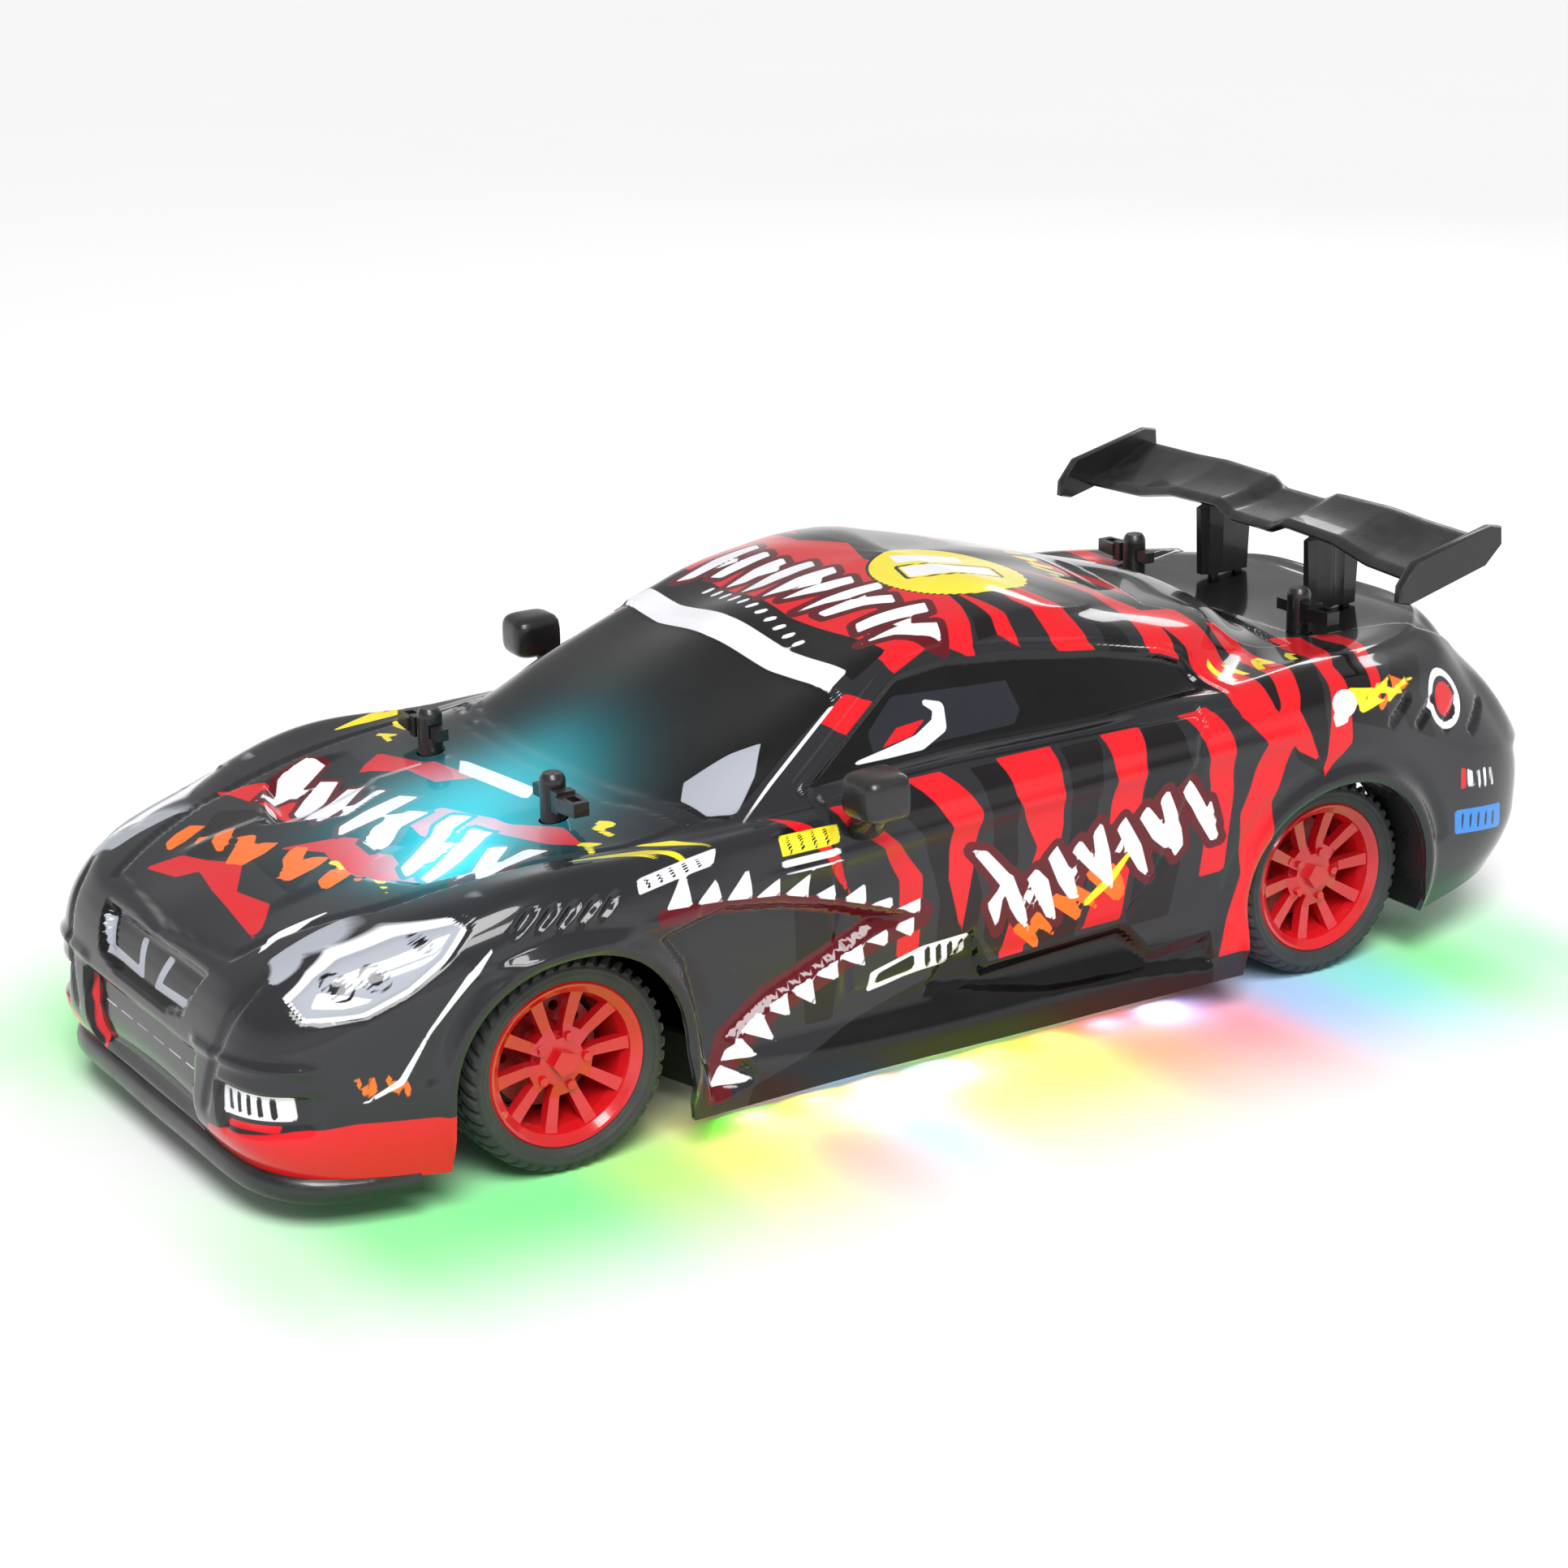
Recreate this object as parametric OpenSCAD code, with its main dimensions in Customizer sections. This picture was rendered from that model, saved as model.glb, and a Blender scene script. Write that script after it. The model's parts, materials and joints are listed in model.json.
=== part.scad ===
// Radio controlled drift car, about 1:14 scale.
// X points forward, Y to the car's left, Z up. The origin is on the ground, mid length.

/* [Wheels and axles] */
// Distance of the front axle ahead of the middle
front_axle_x = 97.6; // [90:0.1:104]
// Distance of the rear axle behind the middle
rear_axle_x = 101; // [94:0.1:106]
// Outer diameter of a tyre
tyre_d = 47; // [42:0.5:48]
// Width of a tyre
tyre_w = 23; // [18:0.5:25]
// Distance from the centre plane to the outer side of a tyre
tyre_out_y = 58.5; // [56:0.1:60]
// Height of a tyre's wall above its rim
tyre_wall = 5.6; // [5:0.1:7]
// Number of tread blocks round a tyre
tread_blocks = 44; // [24:1:60]
// Diameter of the axle shafts
axle_d = 5; // [4:0.1:6]

/* [Body shell] */
// Overall length of the body over its bumpers
body_length = 334; // [320:1:360]
// Scale of the body's width against its drawn width
body_width_scale = 1; // [0.95:0.01:1.2]
// Wall of the moulded shell
shell_wall = 1.2; // [0.8:0.1:1.8]
// Radius of the front wheel arch
front_arch_r = 26.5; // [25:0.1:28]
// Radius of the rear wheel arch
rear_arch_r = 26; // [25:0.1:28]
// How far the fender flares stand out over the wheels
flare_out = 2.2; // [0:0.1:4]
// How far the fender flares rise over the wheels
flare_up = 3.2; // [0:0.1:5]

/* [Chassis] */
// Height of the axle line above the inside of the chassis floor
axle_over_floor = 14.5; // [14:0.1:16]
// Thickness of the chassis floor
floor_t = 2; // [1.5:0.1:3]
// Thickness of upright plastic walls
wall_t = 2; // [1.5:0.1:3]
// Half width of the tub between the wheels
tub_half_w = 50; // [46:0.5:54]
// Diameter of the centre shaft
shaft_d = 3; // [2.5:0.1:4]
// Diameter of the motor can
motor_d = 27.7; // [20:0.1:28]
// Length of the motor can
motor_l = 34; // [25:0.5:40]

/* [Steering] */
// Distance of a kingpin from the centre plane
kingpin_y = 29.5; // [28.5:0.1:30.5]
// Length of the steering arm behind the kingpin
steer_arm = 16; // [14:0.5:18]
// Diameter of a kingpin
kingpin_d = 2.4; // [2:0.1:3]

/* [Gears] */
// Teeth on each crown gear
crown_teeth = 26; // [18:2:30]
// Teeth on each bevel pinion
bevel_teeth = 10; // [8:2:12]
// Module of the crown gear pair
crown_module = 0.55; // [0.5:0.05:0.6]
// Teeth on the spur gear
spur_teeth = 42; // [34:8:42]
// Teeth on the motor pinion
motor_teeth = 14; // [10:4:14]
// Module of the spur pair
spur_module = 0.6; // [0.5:0.05:0.65]

/* [Rear wing] */
// Span of the wing over its end plates
wing_span = 130; // [110:1:140]
// Thickness of the wing blade
wing_t = 2.4; // [1.6:0.1:3]

/* [Body posts and clips] */
// Distance of the front posts from the centre plane
front_post_y = 28.1; // [26:0.1:30]
// Distance of the rear posts from the centre plane
rear_post_y = 31.3; // [29:0.1:32]
// Diameter of a body post
post_d = 5.6; // [5:0.1:6]
// Height of a clip's tongue
clip_h = 2.6; // [2:0.1:3]

/* [Hidden] */

$fn = 48;
eps = 0.01;
gap = 0.3;              // clearance between pieces that move past each other
run_fit = 0.05;         // radial clearance of a shaft in its bush
tyre_r = tyre_d / 2;
rim_r = tyre_r - tyre_wall;
axle_r = axle_d / 2;
shaft_r = shaft_d / 2;
kingpin_r = kingpin_d / 2;
screw_r = 1.3;
motor_r = motor_d / 2;
axle_z = tyre_r;        // every shaft lies at the height of the wheel centres
rear_x = -rear_axle_x;
front_x = front_axle_x;
floor_top = axle_z - axle_over_floor;
ride_height = floor_top - floor_t;
tyre_in_y = tyre_out_y - tyre_w;

// ---------------------------------------------------------------- body shell
// Each row is one ring round the body, from the bottom edge up to the roof centre:
// [front x, rear x, centre x, front squareness, rear squareness,
//  half widths at the stations, heights at the stations]
// Stations: nose, front corner, front axle, door front, door rear, rear axle, rear corner, tail
station = [0, 38, 60, 80, 100, 121, 142, 180];
rings = [
    [163, -162, 0, 8, 9, [61, 61, 64.5, 64, 64.5, 66, 62, 62], [13, 12.2, 8, 8, 8, 10, 19, 21]],
    [166, -165.5, 0, 8, 9, [62, 62, 65.5, 64, 64.5, 67, 64, 64], [20, 18, 18, 15, 15, 18, 25, 26]],
    [166.5, -167, 0, 8, 9, [62, 62, 65.5, 60.5, 61, 67, 65, 65], [26, 26, 27, 21, 22, 28, 31, 31]],
    [165, -166, 0, 8, 9, [61.5, 61.5, 65.5, 62, 62.5, 67, 65, 65], [38, 39, 42, 40, 40, 46, 44, 42]],
    [162, -159.5, 0, 7.5, 8, [60, 60, 65.5, 62.5, 63.5, 67, 62, 62], [45.5, 47, 53.5, 53, 55, 58, 57, 55]],
    [156, -154, 0, 7, 7, [58, 58, 63, 62, 63, 65.5, 59, 59], [52.5, 53, 60.5, 61.5, 64, 67.5, 66.5, 65.5]],
    [141, -154, -5, 6, 4.5, [55.5, 55.5, 61, 60.5, 61.5, 63, 56, 56],
        [57, 58.5, 64.5, 65.5, 68, 72, 73.5, 73.5]],
    [112, -147, -15, 6, 4.5, [50, 50, 57.5, 58.7, 59, 58.5, 51, 51],
        [62, 62.5, 66, 68, 70.5, 75, 76, 75.3]],
    [73, -109, -25, 6, 4.5, [56, 56, 56, 57, 56.5, 50, 42, 42],
        [67.5, 67.5, 69, 71, 73.5, 75.6, 75.2, 75.4]],
    [50, -92, -25, 7, 4.5, [51.5, 51.5, 51, 52, 51, 46, 38, 38], [80, 78, 79, 81, 83.5, 84.5, 84.5, 86]],
    [24, -66, -24, 8, 4.5, [45.5, 45.5, 45, 45.5, 45, 41, 35, 35], [92, 88.5, 91, 93.5, 94, 91.5, 91, 92]],
    [15, -58, -24, 6, 4.5, [41.5, 41.5, 41.5, 42, 41.5, 38, 32, 32],
        [95, 92.5, 95.5, 97.3, 97, 94.5, 93.5, 94.8]],
    [0, -42, -22, 5, 4, [26, 26, 27, 28, 28, 26, 21, 21], [99, 98.5, 99.3, 100, 100, 98.6, 97.8, 98.4]],
    [-18, -22, -20, 4, 4, [2, 2, 2, 2, 2, 2, 2, 2], [101, 101, 101, 101, 101, 101, 101, 101]]
];
ring_pos = [for (i = [0:len(rings) - 1]) i];
drawn_length = 333.5;
length_scale = body_length / drawn_length;

// value and slope rules of a smooth curve through points (xs, ys)
function seg(xs, x, i = 0) = i >= len(xs) - 2 || x < xs[i + 1] ? i : seg(xs, x, i + 1);
function mid_slope(xs, ys, i) =
    let (a = xs[i] - xs[i - 1], b = xs[i + 1] - xs[i])
    (a * a * ys[i + 1] + (b * b - a * a) * ys[i] - b * b * ys[i - 1]) / (a * b * (a + b));
function end_slope(xs, ys, i, flat) =
    flat ? ys[i] * 0 : i == 0 ? (ys[1] - ys[0]) / (xs[1] - xs[0])
    : (ys[i] - ys[i - 1]) / (xs[i] - xs[i - 1]);
function slope(xs, ys, i, flat) =
    i == 0 || i == len(xs) - 1 ? end_slope(xs, ys, i, flat) : mid_slope(xs, ys, i);
function smooth(xs, ys, x, flat = false) =
    let (i = seg(xs, x), h = xs[i + 1] - xs[i], t = (x - xs[i]) / h)
    (2 * t * t * t - 3 * t * t + 1) * ys[i] + (t * t * t - 2 * t * t + t) * h * slope(xs, ys, i, flat)
    + (3 * t * t - 2 * t * t * t) * ys[i + 1] + (t * t * t - t * t) * h * slope(xs, ys, i + 1, flat);

// a ring between the drawn ones, as one flat list of its numbers
function flat_ring(k) = concat([for (i = [0:4]) rings[k][i]], rings[k][5], rings[k][6]);
flat_rings = [for (k = ring_pos) flat_ring(k)];
function part_of(v, a, n) = [for (i = [a:a + n - 1]) v[i]];
function bump(x, at, half) = abs(x - at) > half ? 0 : pow(cos(90 * (x - at) / half), 2);
// the flares fade in over the lower rings and out below the windows
flare_y_rule = [1, 1, 1, 1, 1, 0.9, 0.35, 0, 0, 0, 0, 0, 0, 0];
flare_z_rule = [0, 0, 0, 0, 0.6, 1, 1, 0.5, 0, 0, 0, 0, 0, 0];
front_flare_x = front_x + 3;
rear_flare_x = rear_x;
front_flare_half = 36;
rear_flare_half = 38;

function ring_point(row, y_share, z_share, a) =
    let (
        w = smooth(station, part_of(row, 5, 8), a, true),
        z = smooth(station, part_of(row, 13, 8), a, true),
        c = cos(a), s = sin(a), n = c > 0 ? row[3] : row[4],
        d = pow(pow(abs(c), n) + pow(s, n), 1 / n),
        x = row[2] + (c > 0 ? row[0] - row[2] : row[2] - row[1]) * c / d,
        f = max(bump(x, front_flare_x, front_flare_half), bump(x, rear_flare_x, rear_flare_half)),
        side = pow(s / d, 4)
    )
    [x * length_scale, (w + flare_out * y_share * f) * s / d * body_width_scale,
     z + flare_up * z_share * f * side];

ring_steps = [0, 1, 2, 3, 3.5, 4, 4.5, 5, 5.5, 6, 6.5, 7, 7.5, 8, 8.5, 9, 9.5, 10, 10.5, 11, 11.5, 12, 13];
half_turn = [0, 9, 18, 26, 33, 38, 42, 46, 50, 54, 58, 62, 66, 71, 77, 84, 92, 100, 106, 111,
    115, 119, 123, 127, 131, 135, 140, 146, 154, 163, 172, 180];
n_half = len(half_turn);
n_ring = 2 * n_half - 2;
n_rows = len(ring_steps);

function half_ring(r) =
    let (
        row = [for (j = [0:len(flat_rings[0]) - 1])
            smooth(ring_pos, [for (k = ring_pos) flat_rings[k][j]], r)],
        y_share = smooth(ring_pos, flare_y_rule, r), z_share = smooth(ring_pos, flare_z_rule, r)
    )
    [for (a = half_turn) ring_point(row, y_share, z_share, a)];
function whole_ring(half) = concat(half, [for (i = [n_half - 2:-1:1])
    [half[i][0], -half[i][1], half[i][2]]]);
shell_rows = [for (r = ring_steps) whole_ring(half_ring(r))];

function unit(v) = v / max(norm(v), 1e-9);
function grid_normal(g, i, j) =
    let (
        n = len(g[0]), up = g[min(i + 1, len(g) - 1)][j] - g[max(i - 1, 0)][j],
        round_ = g[i][(j + 1) % n] - g[i][(j + n - 1) % n]
    )
    unit(cross(round_, up));
function inset_rows(g, t) =
    [for (i = [0:len(g) - 1]) [for (j = [0:len(g[0]) - 1])
        i == len(g) - 1 ? g[i][j] - [0, 0, t] : g[i][j] - t * grid_normal(g, i, j)]];
function flat_rows(g) = [for (row = g, p = row) p];
function quad(a, b, c, d) = [[a, b, c], [a, c, d]];

// a thin hat shaped shell between two grids of rings
module ring_shell(outer, inner) {
    rows = len(outer);
    n = len(outer[0]);
    base = rows * n;
    faces = concat(
        [for (i = [0:rows - 2], j = [0:n - 1])
            each quad(i * n + j, (i + 1) * n + j, (i + 1) * n + (j + 1) % n, i * n + (j + 1) % n)],
        [for (i = [0:rows - 2], j = [0:n - 1])
            each quad(base + i * n + (j + 1) % n, base + (i + 1) * n + (j + 1) % n,
                base + (i + 1) * n + j, base + i * n + j)],
        [for (j = [0:n - 1]) each quad(j, (j + 1) % n, base + (j + 1) % n, base + j)],
        [[for (j = [n - 1:-1:0]) (rows - 1) * n + j]],
        [[for (j = [0:n - 1]) base + (rows - 1) * n + j]]
    );
    polyhedron(concat(flat_rows(outer), flat_rows(inner)), faces, convexity = 10);
}

front_arch_x = front_x + 2.2;
rear_arch_x = rear_x + 2.6;
arch_rise = 0.5;
arch_depth = 32;       // how far in from the side the arch openings reach

module arch_cut(x, r, side) {
    hull() {
        translate([x, side * (tyre_in_y - 4), axle_z + arch_rise]) rotate([-side * 90, 0, 0])
            cylinder(r = r, h = arch_depth + 20, $fn = 56);
        translate([x, side * (tyre_in_y - 4), -10]) rotate([-side * 90, 0, 0])
            cylinder(r = r + 2, h = arch_depth + 20, $fn = 56);
    }
}

// vents let into the bonnet either side of its raised middle
vent_x = 110;
vent_y = 33;
module vent_cut(side, shift) {
    hull() {
        translate([vent_x + shift, side * vent_y, 60]) cylinder(r = 1.2, h = 12, $fn = 16);
        translate([vent_x + shift - 6, side * (vent_y + 8), 60]) cylinder(r = 1.2, h = 12, $fn = 16);
    }
}

front_post_x = 83.1;
rear_post_x = -114.3;
post_hole_r = post_d / 2 + 0.4;
module body_shell() {
    color([0.16, 0.17, 0.19])
    difference() {
        ring_shell(shell_rows, inset_rows(shell_rows, shell_wall));
        for (side = [-1, 1]) {
            arch_cut(front_arch_x, front_arch_r, side);
            arch_cut(rear_arch_x, rear_arch_r, side);
            vent_cut(side, 0);
            vent_cut(side, -4.5);
            translate([front_post_x, side * front_post_y, 50]) cylinder(r = post_hole_r, h = 40);
            translate([rear_post_x, side * rear_post_y, 60]) cylinder(r = post_hole_r, h = 40);
            translate([mirror_x, side * (mirror_seat_y - 12), mirror_peg_z]) rotate([-side * 90, 0, 0])
                cylinder(r = mirror_peg_r, h = 20, $fn = 24);
            for (x = strut_pegs) translate([x, side * strut_y, 60])
                cylinder(r = strut_peg_r, h = 25, $fn = 24);
            translate([strut_rear_x - 1.1, side * strut_y - 2.3, strut_base_z - 1.2]) cube([16.4, 4.6, 9]);
        }
    }
}

// ---------------------------------------------------------------- splitter
splitter_z = 8.2;
splitter_t = 3.4;
function front_arc(length, half_w, n, a) =
    let (d = pow(pow(abs(cos(a)), n) + pow(abs(sin(a)), n), 1 / n))
    [length * cos(a) / d, half_w * sin(a) / d];
splitter_reach = body_length / 2 + 0.5;
splitter_half_w = 58 * body_width_scale;
splitter_in_x = 118;
tub_nose_x = 131;       // front end of the chassis tub
module splitter_plan(grow) {
    polygon(concat(
        [[splitter_in_x, -splitter_half_w - grow]],
        [for (a = [-44:4:44]) front_arc(splitter_reach - 3 + grow, splitter_half_w + grow, 7, a)],
        [[splitter_in_x, splitter_half_w + grow]]));
}
module front_splitter() {
    color([0.08, 0.08, 0.08])
    difference() {
        union() {
            translate([0, 0, splitter_z]) linear_extrude(splitter_t) splitter_plan(0);
            for (side = [-1, 1])
                translate([0, 0, splitter_z]) linear_extrude(splitter_t - 1.6) intersection() {
                    splitter_plan(3);
                    translate([splitter_in_x + 12, side * 51 - 18]) square([60, 36]);
                }
        }
        translate([tub_nose_x - 60, -100, 0]) cube([60, 200, 40]);
        translate([0, 0, splitter_z - 1]) linear_extrude(splitter_t - 0.4) scale([0.955, 0.9])
            splitter_plan(0);
    }
}

// ---------------------------------------------------------------- rear wing
wing_lead_x = -124;
wing_trail_x = -143;
// spanwise stations: [share of the half span, front height, rear height]
wing_line = [[0.12, 93.3, 97.6], [0.19, 95.4, 99.9], [0.47, 94.6, 100.3],
    [0.66, 91.9, 99.6], [1, 90.8, 99.1]];
plate_t = 2.5;          // thickness of a wing end plate
glue_gap = 0.02;
wing_half = wing_span / 2 - plate_t - glue_gap;
wing_full_line = concat(
    [for (i = [len(wing_line) - 1:-1:0]) [-wing_line[i][0], wing_line[i][1], wing_line[i][2]]], wing_line);
// one section: the blade's top is hollow and its leading edge is blunt
function wing_section(st) =
    let (y = st[0] * wing_half, zf = st[1], zr = st[2], xf = wing_lead_x + 3 * abs(st[0]))
    [for (t = [0, 0.03, 0.35, 0.7, 1]) [xf + (wing_trail_x - xf) * t, y,
        zf + (zr - zf) * t - 1.3 * sin(180 * t) + (t == 0 ? -0.5 : 0)]];
function wing_under(p) =
    [for (i = [len(p) - 1:-1:0]) [p[i][0], p[i][1], p[i][2] - wing_t + (i == 4 ? 1 : 0)]];
module loft(sections) {
    n = len(sections[0]);
    m = len(sections);
    polyhedron([for (s = sections, p = s) p], concat(
        [for (i = [0:m - 2], j = [0:n - 1])
            each quad(i * n + j, i * n + (j + 1) % n, (i + 1) * n + (j + 1) % n, (i + 1) * n + j)],
        [[for (j = [n - 1:-1:0]) j]], [[for (j = [0:n - 1]) (m - 1) * n + j]]), convexity = 6);
}
module end_plate(side) {
    translate([0, side * wing_span / 2 - (side > 0 ? plate_t : 0), 0])
        rotate([90, 0, 0]) translate([0, 0, -plate_t]) linear_extrude(plate_t)
            polygon([[-115, 88.4], [-115.2, 92], [-119.5, 97.2], [-142, 102.6],
            [-145.5, 102], [-145.8, 98], [-141, 93.5], [-118, 87.6]]);
}
module rear_wing() {
    color([0.09, 0.09, 0.09]) {
        loft([for (st = wing_full_line) let (p = wing_section(st)) concat(p, wing_under(p))]);
        end_plate(1);
        end_plate(-1);
    }
}

strut_y = 20.2;
strut_front_x = -126.8;
strut_rear_x = -141;
strut_pegs = [-130.5, -138];
strut_peg_r = 1.3;
strut_base_z = 76.6;
module strut(side) {
    color([0.08, 0.08, 0.08]) translate([0, side * strut_y, 0]) difference() {
        union() {
            intersection() {
                rotate([90, 0, 0]) translate([0, 0, -2.2]) linear_extrude(4.4)
                    polygon([[strut_front_x + 0.6, strut_base_z - 1.2], [strut_front_x + 1.4, 92.2],
                        [-133, 93.9],
                        [strut_rear_x, 96.2], [strut_rear_x + 1, strut_base_z - 1.2]]);
                translate([0, 0, 60]) linear_extrude(50)
                    polygon([[strut_front_x + 2, 0.6], [strut_front_x - 1, 1.6],
                    [strut_front_x - 5, 2.1], [strut_rear_x, 1.5], [strut_rear_x - 1, -1.5],
                    [strut_front_x - 5, -2.1], [strut_front_x - 1, -1.6], [strut_front_x + 2, -0.6]]);
            }
            for (x = strut_pegs) translate([x, 0, strut_base_z - 7])
                cylinder(r = strut_peg_r, h = 8, $fn = 24);
        }
        translate([-134.5, side * 4.4, 60]) cylinder(r = 3.1, h = 50);
    }
}
module wing_strut_left() { strut(1); }
module wing_strut_right() { strut(-1); }

// ---------------------------------------------------------------- mirrors
mirror_x = 29.5;
mirror_peg_z = 62.2;
mirror_peg_r = 1.6;
mirror_seat_y = 62.6 * body_width_scale;
module mirror_piece(side) {
    color([0.08, 0.08, 0.08]) mirror_hand(side) {
        translate([mirror_x, mirror_seat_y - 4.5, mirror_peg_z]) rotate([-90, 0, 0])
            cylinder(r = mirror_peg_r - 0.05, h = 6, $fn = 24);
        translate([mirror_x, mirror_seat_y, mirror_peg_z]) rotate([-90, 0, 0]) cylinder(r = 3.4, h = 2.2);
        translate([mirror_x, mirror_seat_y + 1, mirror_peg_z]) rotate([-58, 0, 0])
            cylinder(r = 2.1, h = 12);
        translate([mirror_x + 0.5, mirror_seat_y + 6.5, mirror_peg_z + 7]) hull() {
            cube([6, 1, 7.4]);
            translate([-2.2, 11, 0.8]) cube([6, 1, 6.6]);
            translate([-3, 2, 0.4]) cube([1, 8, 7.2]);
        }
    }
}
module mirror_hand(side) {
    if (side > 0) children();
    else mirror([0, 1, 0]) children();
}
module mirror_left() { mirror_piece(1); }
module mirror_right() { mirror_piece(-1); }

// ---------------------------------------------------------------- gears and shafts
function polar(r, a) = [r * cos(a), r * sin(a)];
// one tooth as five points: its flanks are widest at the root
function tooth(r, m, pitch, a) = [polar(r - 1.1 * m, a - 0.29 * pitch), polar(r, a - 0.2 * pitch),
    polar(r + 0.85 * m, a - 0.1 * pitch), polar(r + 0.85 * m, a + 0.1 * pitch), polar(r, a + 0.2 * pitch),
    polar(r - 1.1 * m, a + 0.29 * pitch)];
module gear_plan(teeth, m, turn) {
    polygon([for (k = [0:teeth - 1]) each tooth(teeth * m / 2, m, 360 / teeth, k * 360 / teeth + turn)]);
}
module along_x(x, y, z) { translate([x, y, z]) rotate([0, 90, 0]) children(); }
module along_y(x, y, z) { translate([x, y, z]) rotate([-90, 0, 0]) children(); }

crown_r = crown_teeth * crown_module / 2;
bevel_r = bevel_teeth * crown_module / 2;
bevel_w = 2;
bevel_out = crown_r + 1.1;     // far end of a bevel pinion from its axle
spur_r = spur_teeth * spur_module / 2;
spur_x = -72;
spur_w = 4;
motor_y = -(spur_teeth + motor_teeth) * spur_module / 2;
crown_tooth_h = bevel_r + 1.15 * crown_module;
shaft_front_x = front_x - bevel_out - 1;
shaft_rear_x = rear_x + bevel_out - bevel_w - 1;

// teeth stand on the disc's face and point back along -Z
module crown_gear() {
    difference() {
        union() {
            translate([0, 0, crown_tooth_h]) cylinder(r = crown_r + 1.2, h = 2.2);
            translate([0, 0, crown_tooth_h]) cylinder(r = axle_r + 2, h = 4);
            for (k = [0:crown_teeth - 1]) rotate((k + 0.5) * 360 / crown_teeth)
                translate([crown_r - 1.4, 0, 0])
                rotate([90, 0, 90]) linear_extrude(2.6) polygon([
                    [-0.3 * crown_pitch, crown_tooth_h + 0.1], [-0.2 * crown_pitch, bevel_r],
                    [-0.1 * crown_pitch, bevel_r - 0.8 * crown_module],
                        [0.1 * crown_pitch, bevel_r - 0.8 * crown_module],
                    [0.2 * crown_pitch, bevel_r], [0.3 * crown_pitch, crown_tooth_h + 0.1]]);
        }
        translate([0, 0, -1]) cylinder(r = axle_r, h = 20);
    }
}
crown_pitch = 3.1416 * crown_module;
module rear_crown_gear() { color([0.9, 0.88, 0.8]) along_y(rear_x, 0, axle_z) crown_gear(); }
module front_crown_gear() {
    color([0.9, 0.88, 0.8]) translate([front_x, 0, axle_z]) rotate([90, 0, 0]) crown_gear();
}
module bevel_pinion(x) {
    color([0.75, 0.7, 0.55]) along_x(x, 0, axle_z) difference() {
        linear_extrude(bevel_w) gear_plan(bevel_teeth, crown_module, 180 / bevel_teeth);
        translate([0, 0, -1]) cylinder(r = shaft_r, h = 10);
    }
}
module front_bevel_pinion() { bevel_pinion(front_x - bevel_out); }
module rear_bevel_pinion() { bevel_pinion(rear_x + bevel_out - bevel_w); }
module centre_shaft() {
    color([0.78, 0.79, 0.8]) along_x(shaft_rear_x, 0, axle_z)
        cylinder(r = shaft_r, h = shaft_front_x + 1 + bevel_w + 1 - shaft_rear_x);
}
module spur_gear() {
    color([0.92, 0.9, 0.84]) along_x(spur_x, 0, axle_z) difference() {
        union() {
            linear_extrude(spur_w) gear_plan(spur_teeth, spur_module, 0);
            cylinder(r = shaft_r + 2, h = spur_w + 2);
        }
        translate([0, 0, -1]) cylinder(r = shaft_r, h = spur_w + 6);
        for (k = [0:5]) rotate(k * 60 + 30) translate([spur_r * 0.58, 0, -1])
            cylinder(r = spur_r * 0.17, h = spur_w + 2);
    }
}
motor_shaft_r = 1.15;
motor_x = -59.5;
module motor_pinion() {
    color([0.8, 0.72, 0.4]) along_x(spur_x, motor_y, axle_z) union() {
        linear_extrude(spur_w) gear_plan(motor_teeth, spur_module, 180 / motor_teeth);
        translate([0, 0, -1]) cylinder(r = motor_shaft_r, h = motor_x - spur_x + 6);
        translate([0, 0, spur_w - 0.1]) cylinder(r = 2.6, h = 2.2);
    }
}
module drive_motor() {
    color([0.7, 0.71, 0.73]) along_x(motor_x, motor_y, axle_z) difference() {
        union() {
            cylinder(r = motor_r, h = motor_l);
            translate([0, 0, -1.6]) cylinder(r = 4.6, h = 2);
            translate([0, 0, motor_l - 0.1]) cylinder(r = motor_r - 2.4, h = 2.6);
            translate([0, 0, motor_l]) cylinder(r = 3.4, h = 4.4);
            for (s = [-1, 1]) translate([-0.4, s * 8 - 1.6, motor_l]) cube([0.8, 3.2, 7]);
        }
        translate([0, 0, -3]) cylinder(r = motor_shaft_r + run_fit, h = 12);
        for (a = [0, 180]) rotate(a) translate([motor_r - 1, -4, motor_l - 9]) cube([3, 8, 5]);
    }
}

// ---------------------------------------------------------------- axles
hex_w = 8;
hub_face_y = tyre_out_y - 7.1;     // where a hex seats in the back of a rim
axle_end_y = tyre_out_y - 4.8;
module hex(h) { cylinder(r = hex_w / 2 / cos(30), h = h, $fn = 6); }
module rear_axle() {
    color([0.78, 0.79, 0.8]) along_y(rear_x, -axle_end_y, axle_z) union() {
        cylinder(r = axle_r, h = 2 * axle_end_y);
        translate([0, 0, axle_end_y - hub_face_y]) hex(4);
        translate([0, 0, axle_end_y + hub_face_y - 4]) hex(4);
    }
}
cup_r = 4.8;
cup_in_r = 3.2;
cup_y = 17.2;
cup_l = 6.6;
ball_r = 2;
dog_pin_l = 5.6;
dog_in_y = 21.6;
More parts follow.
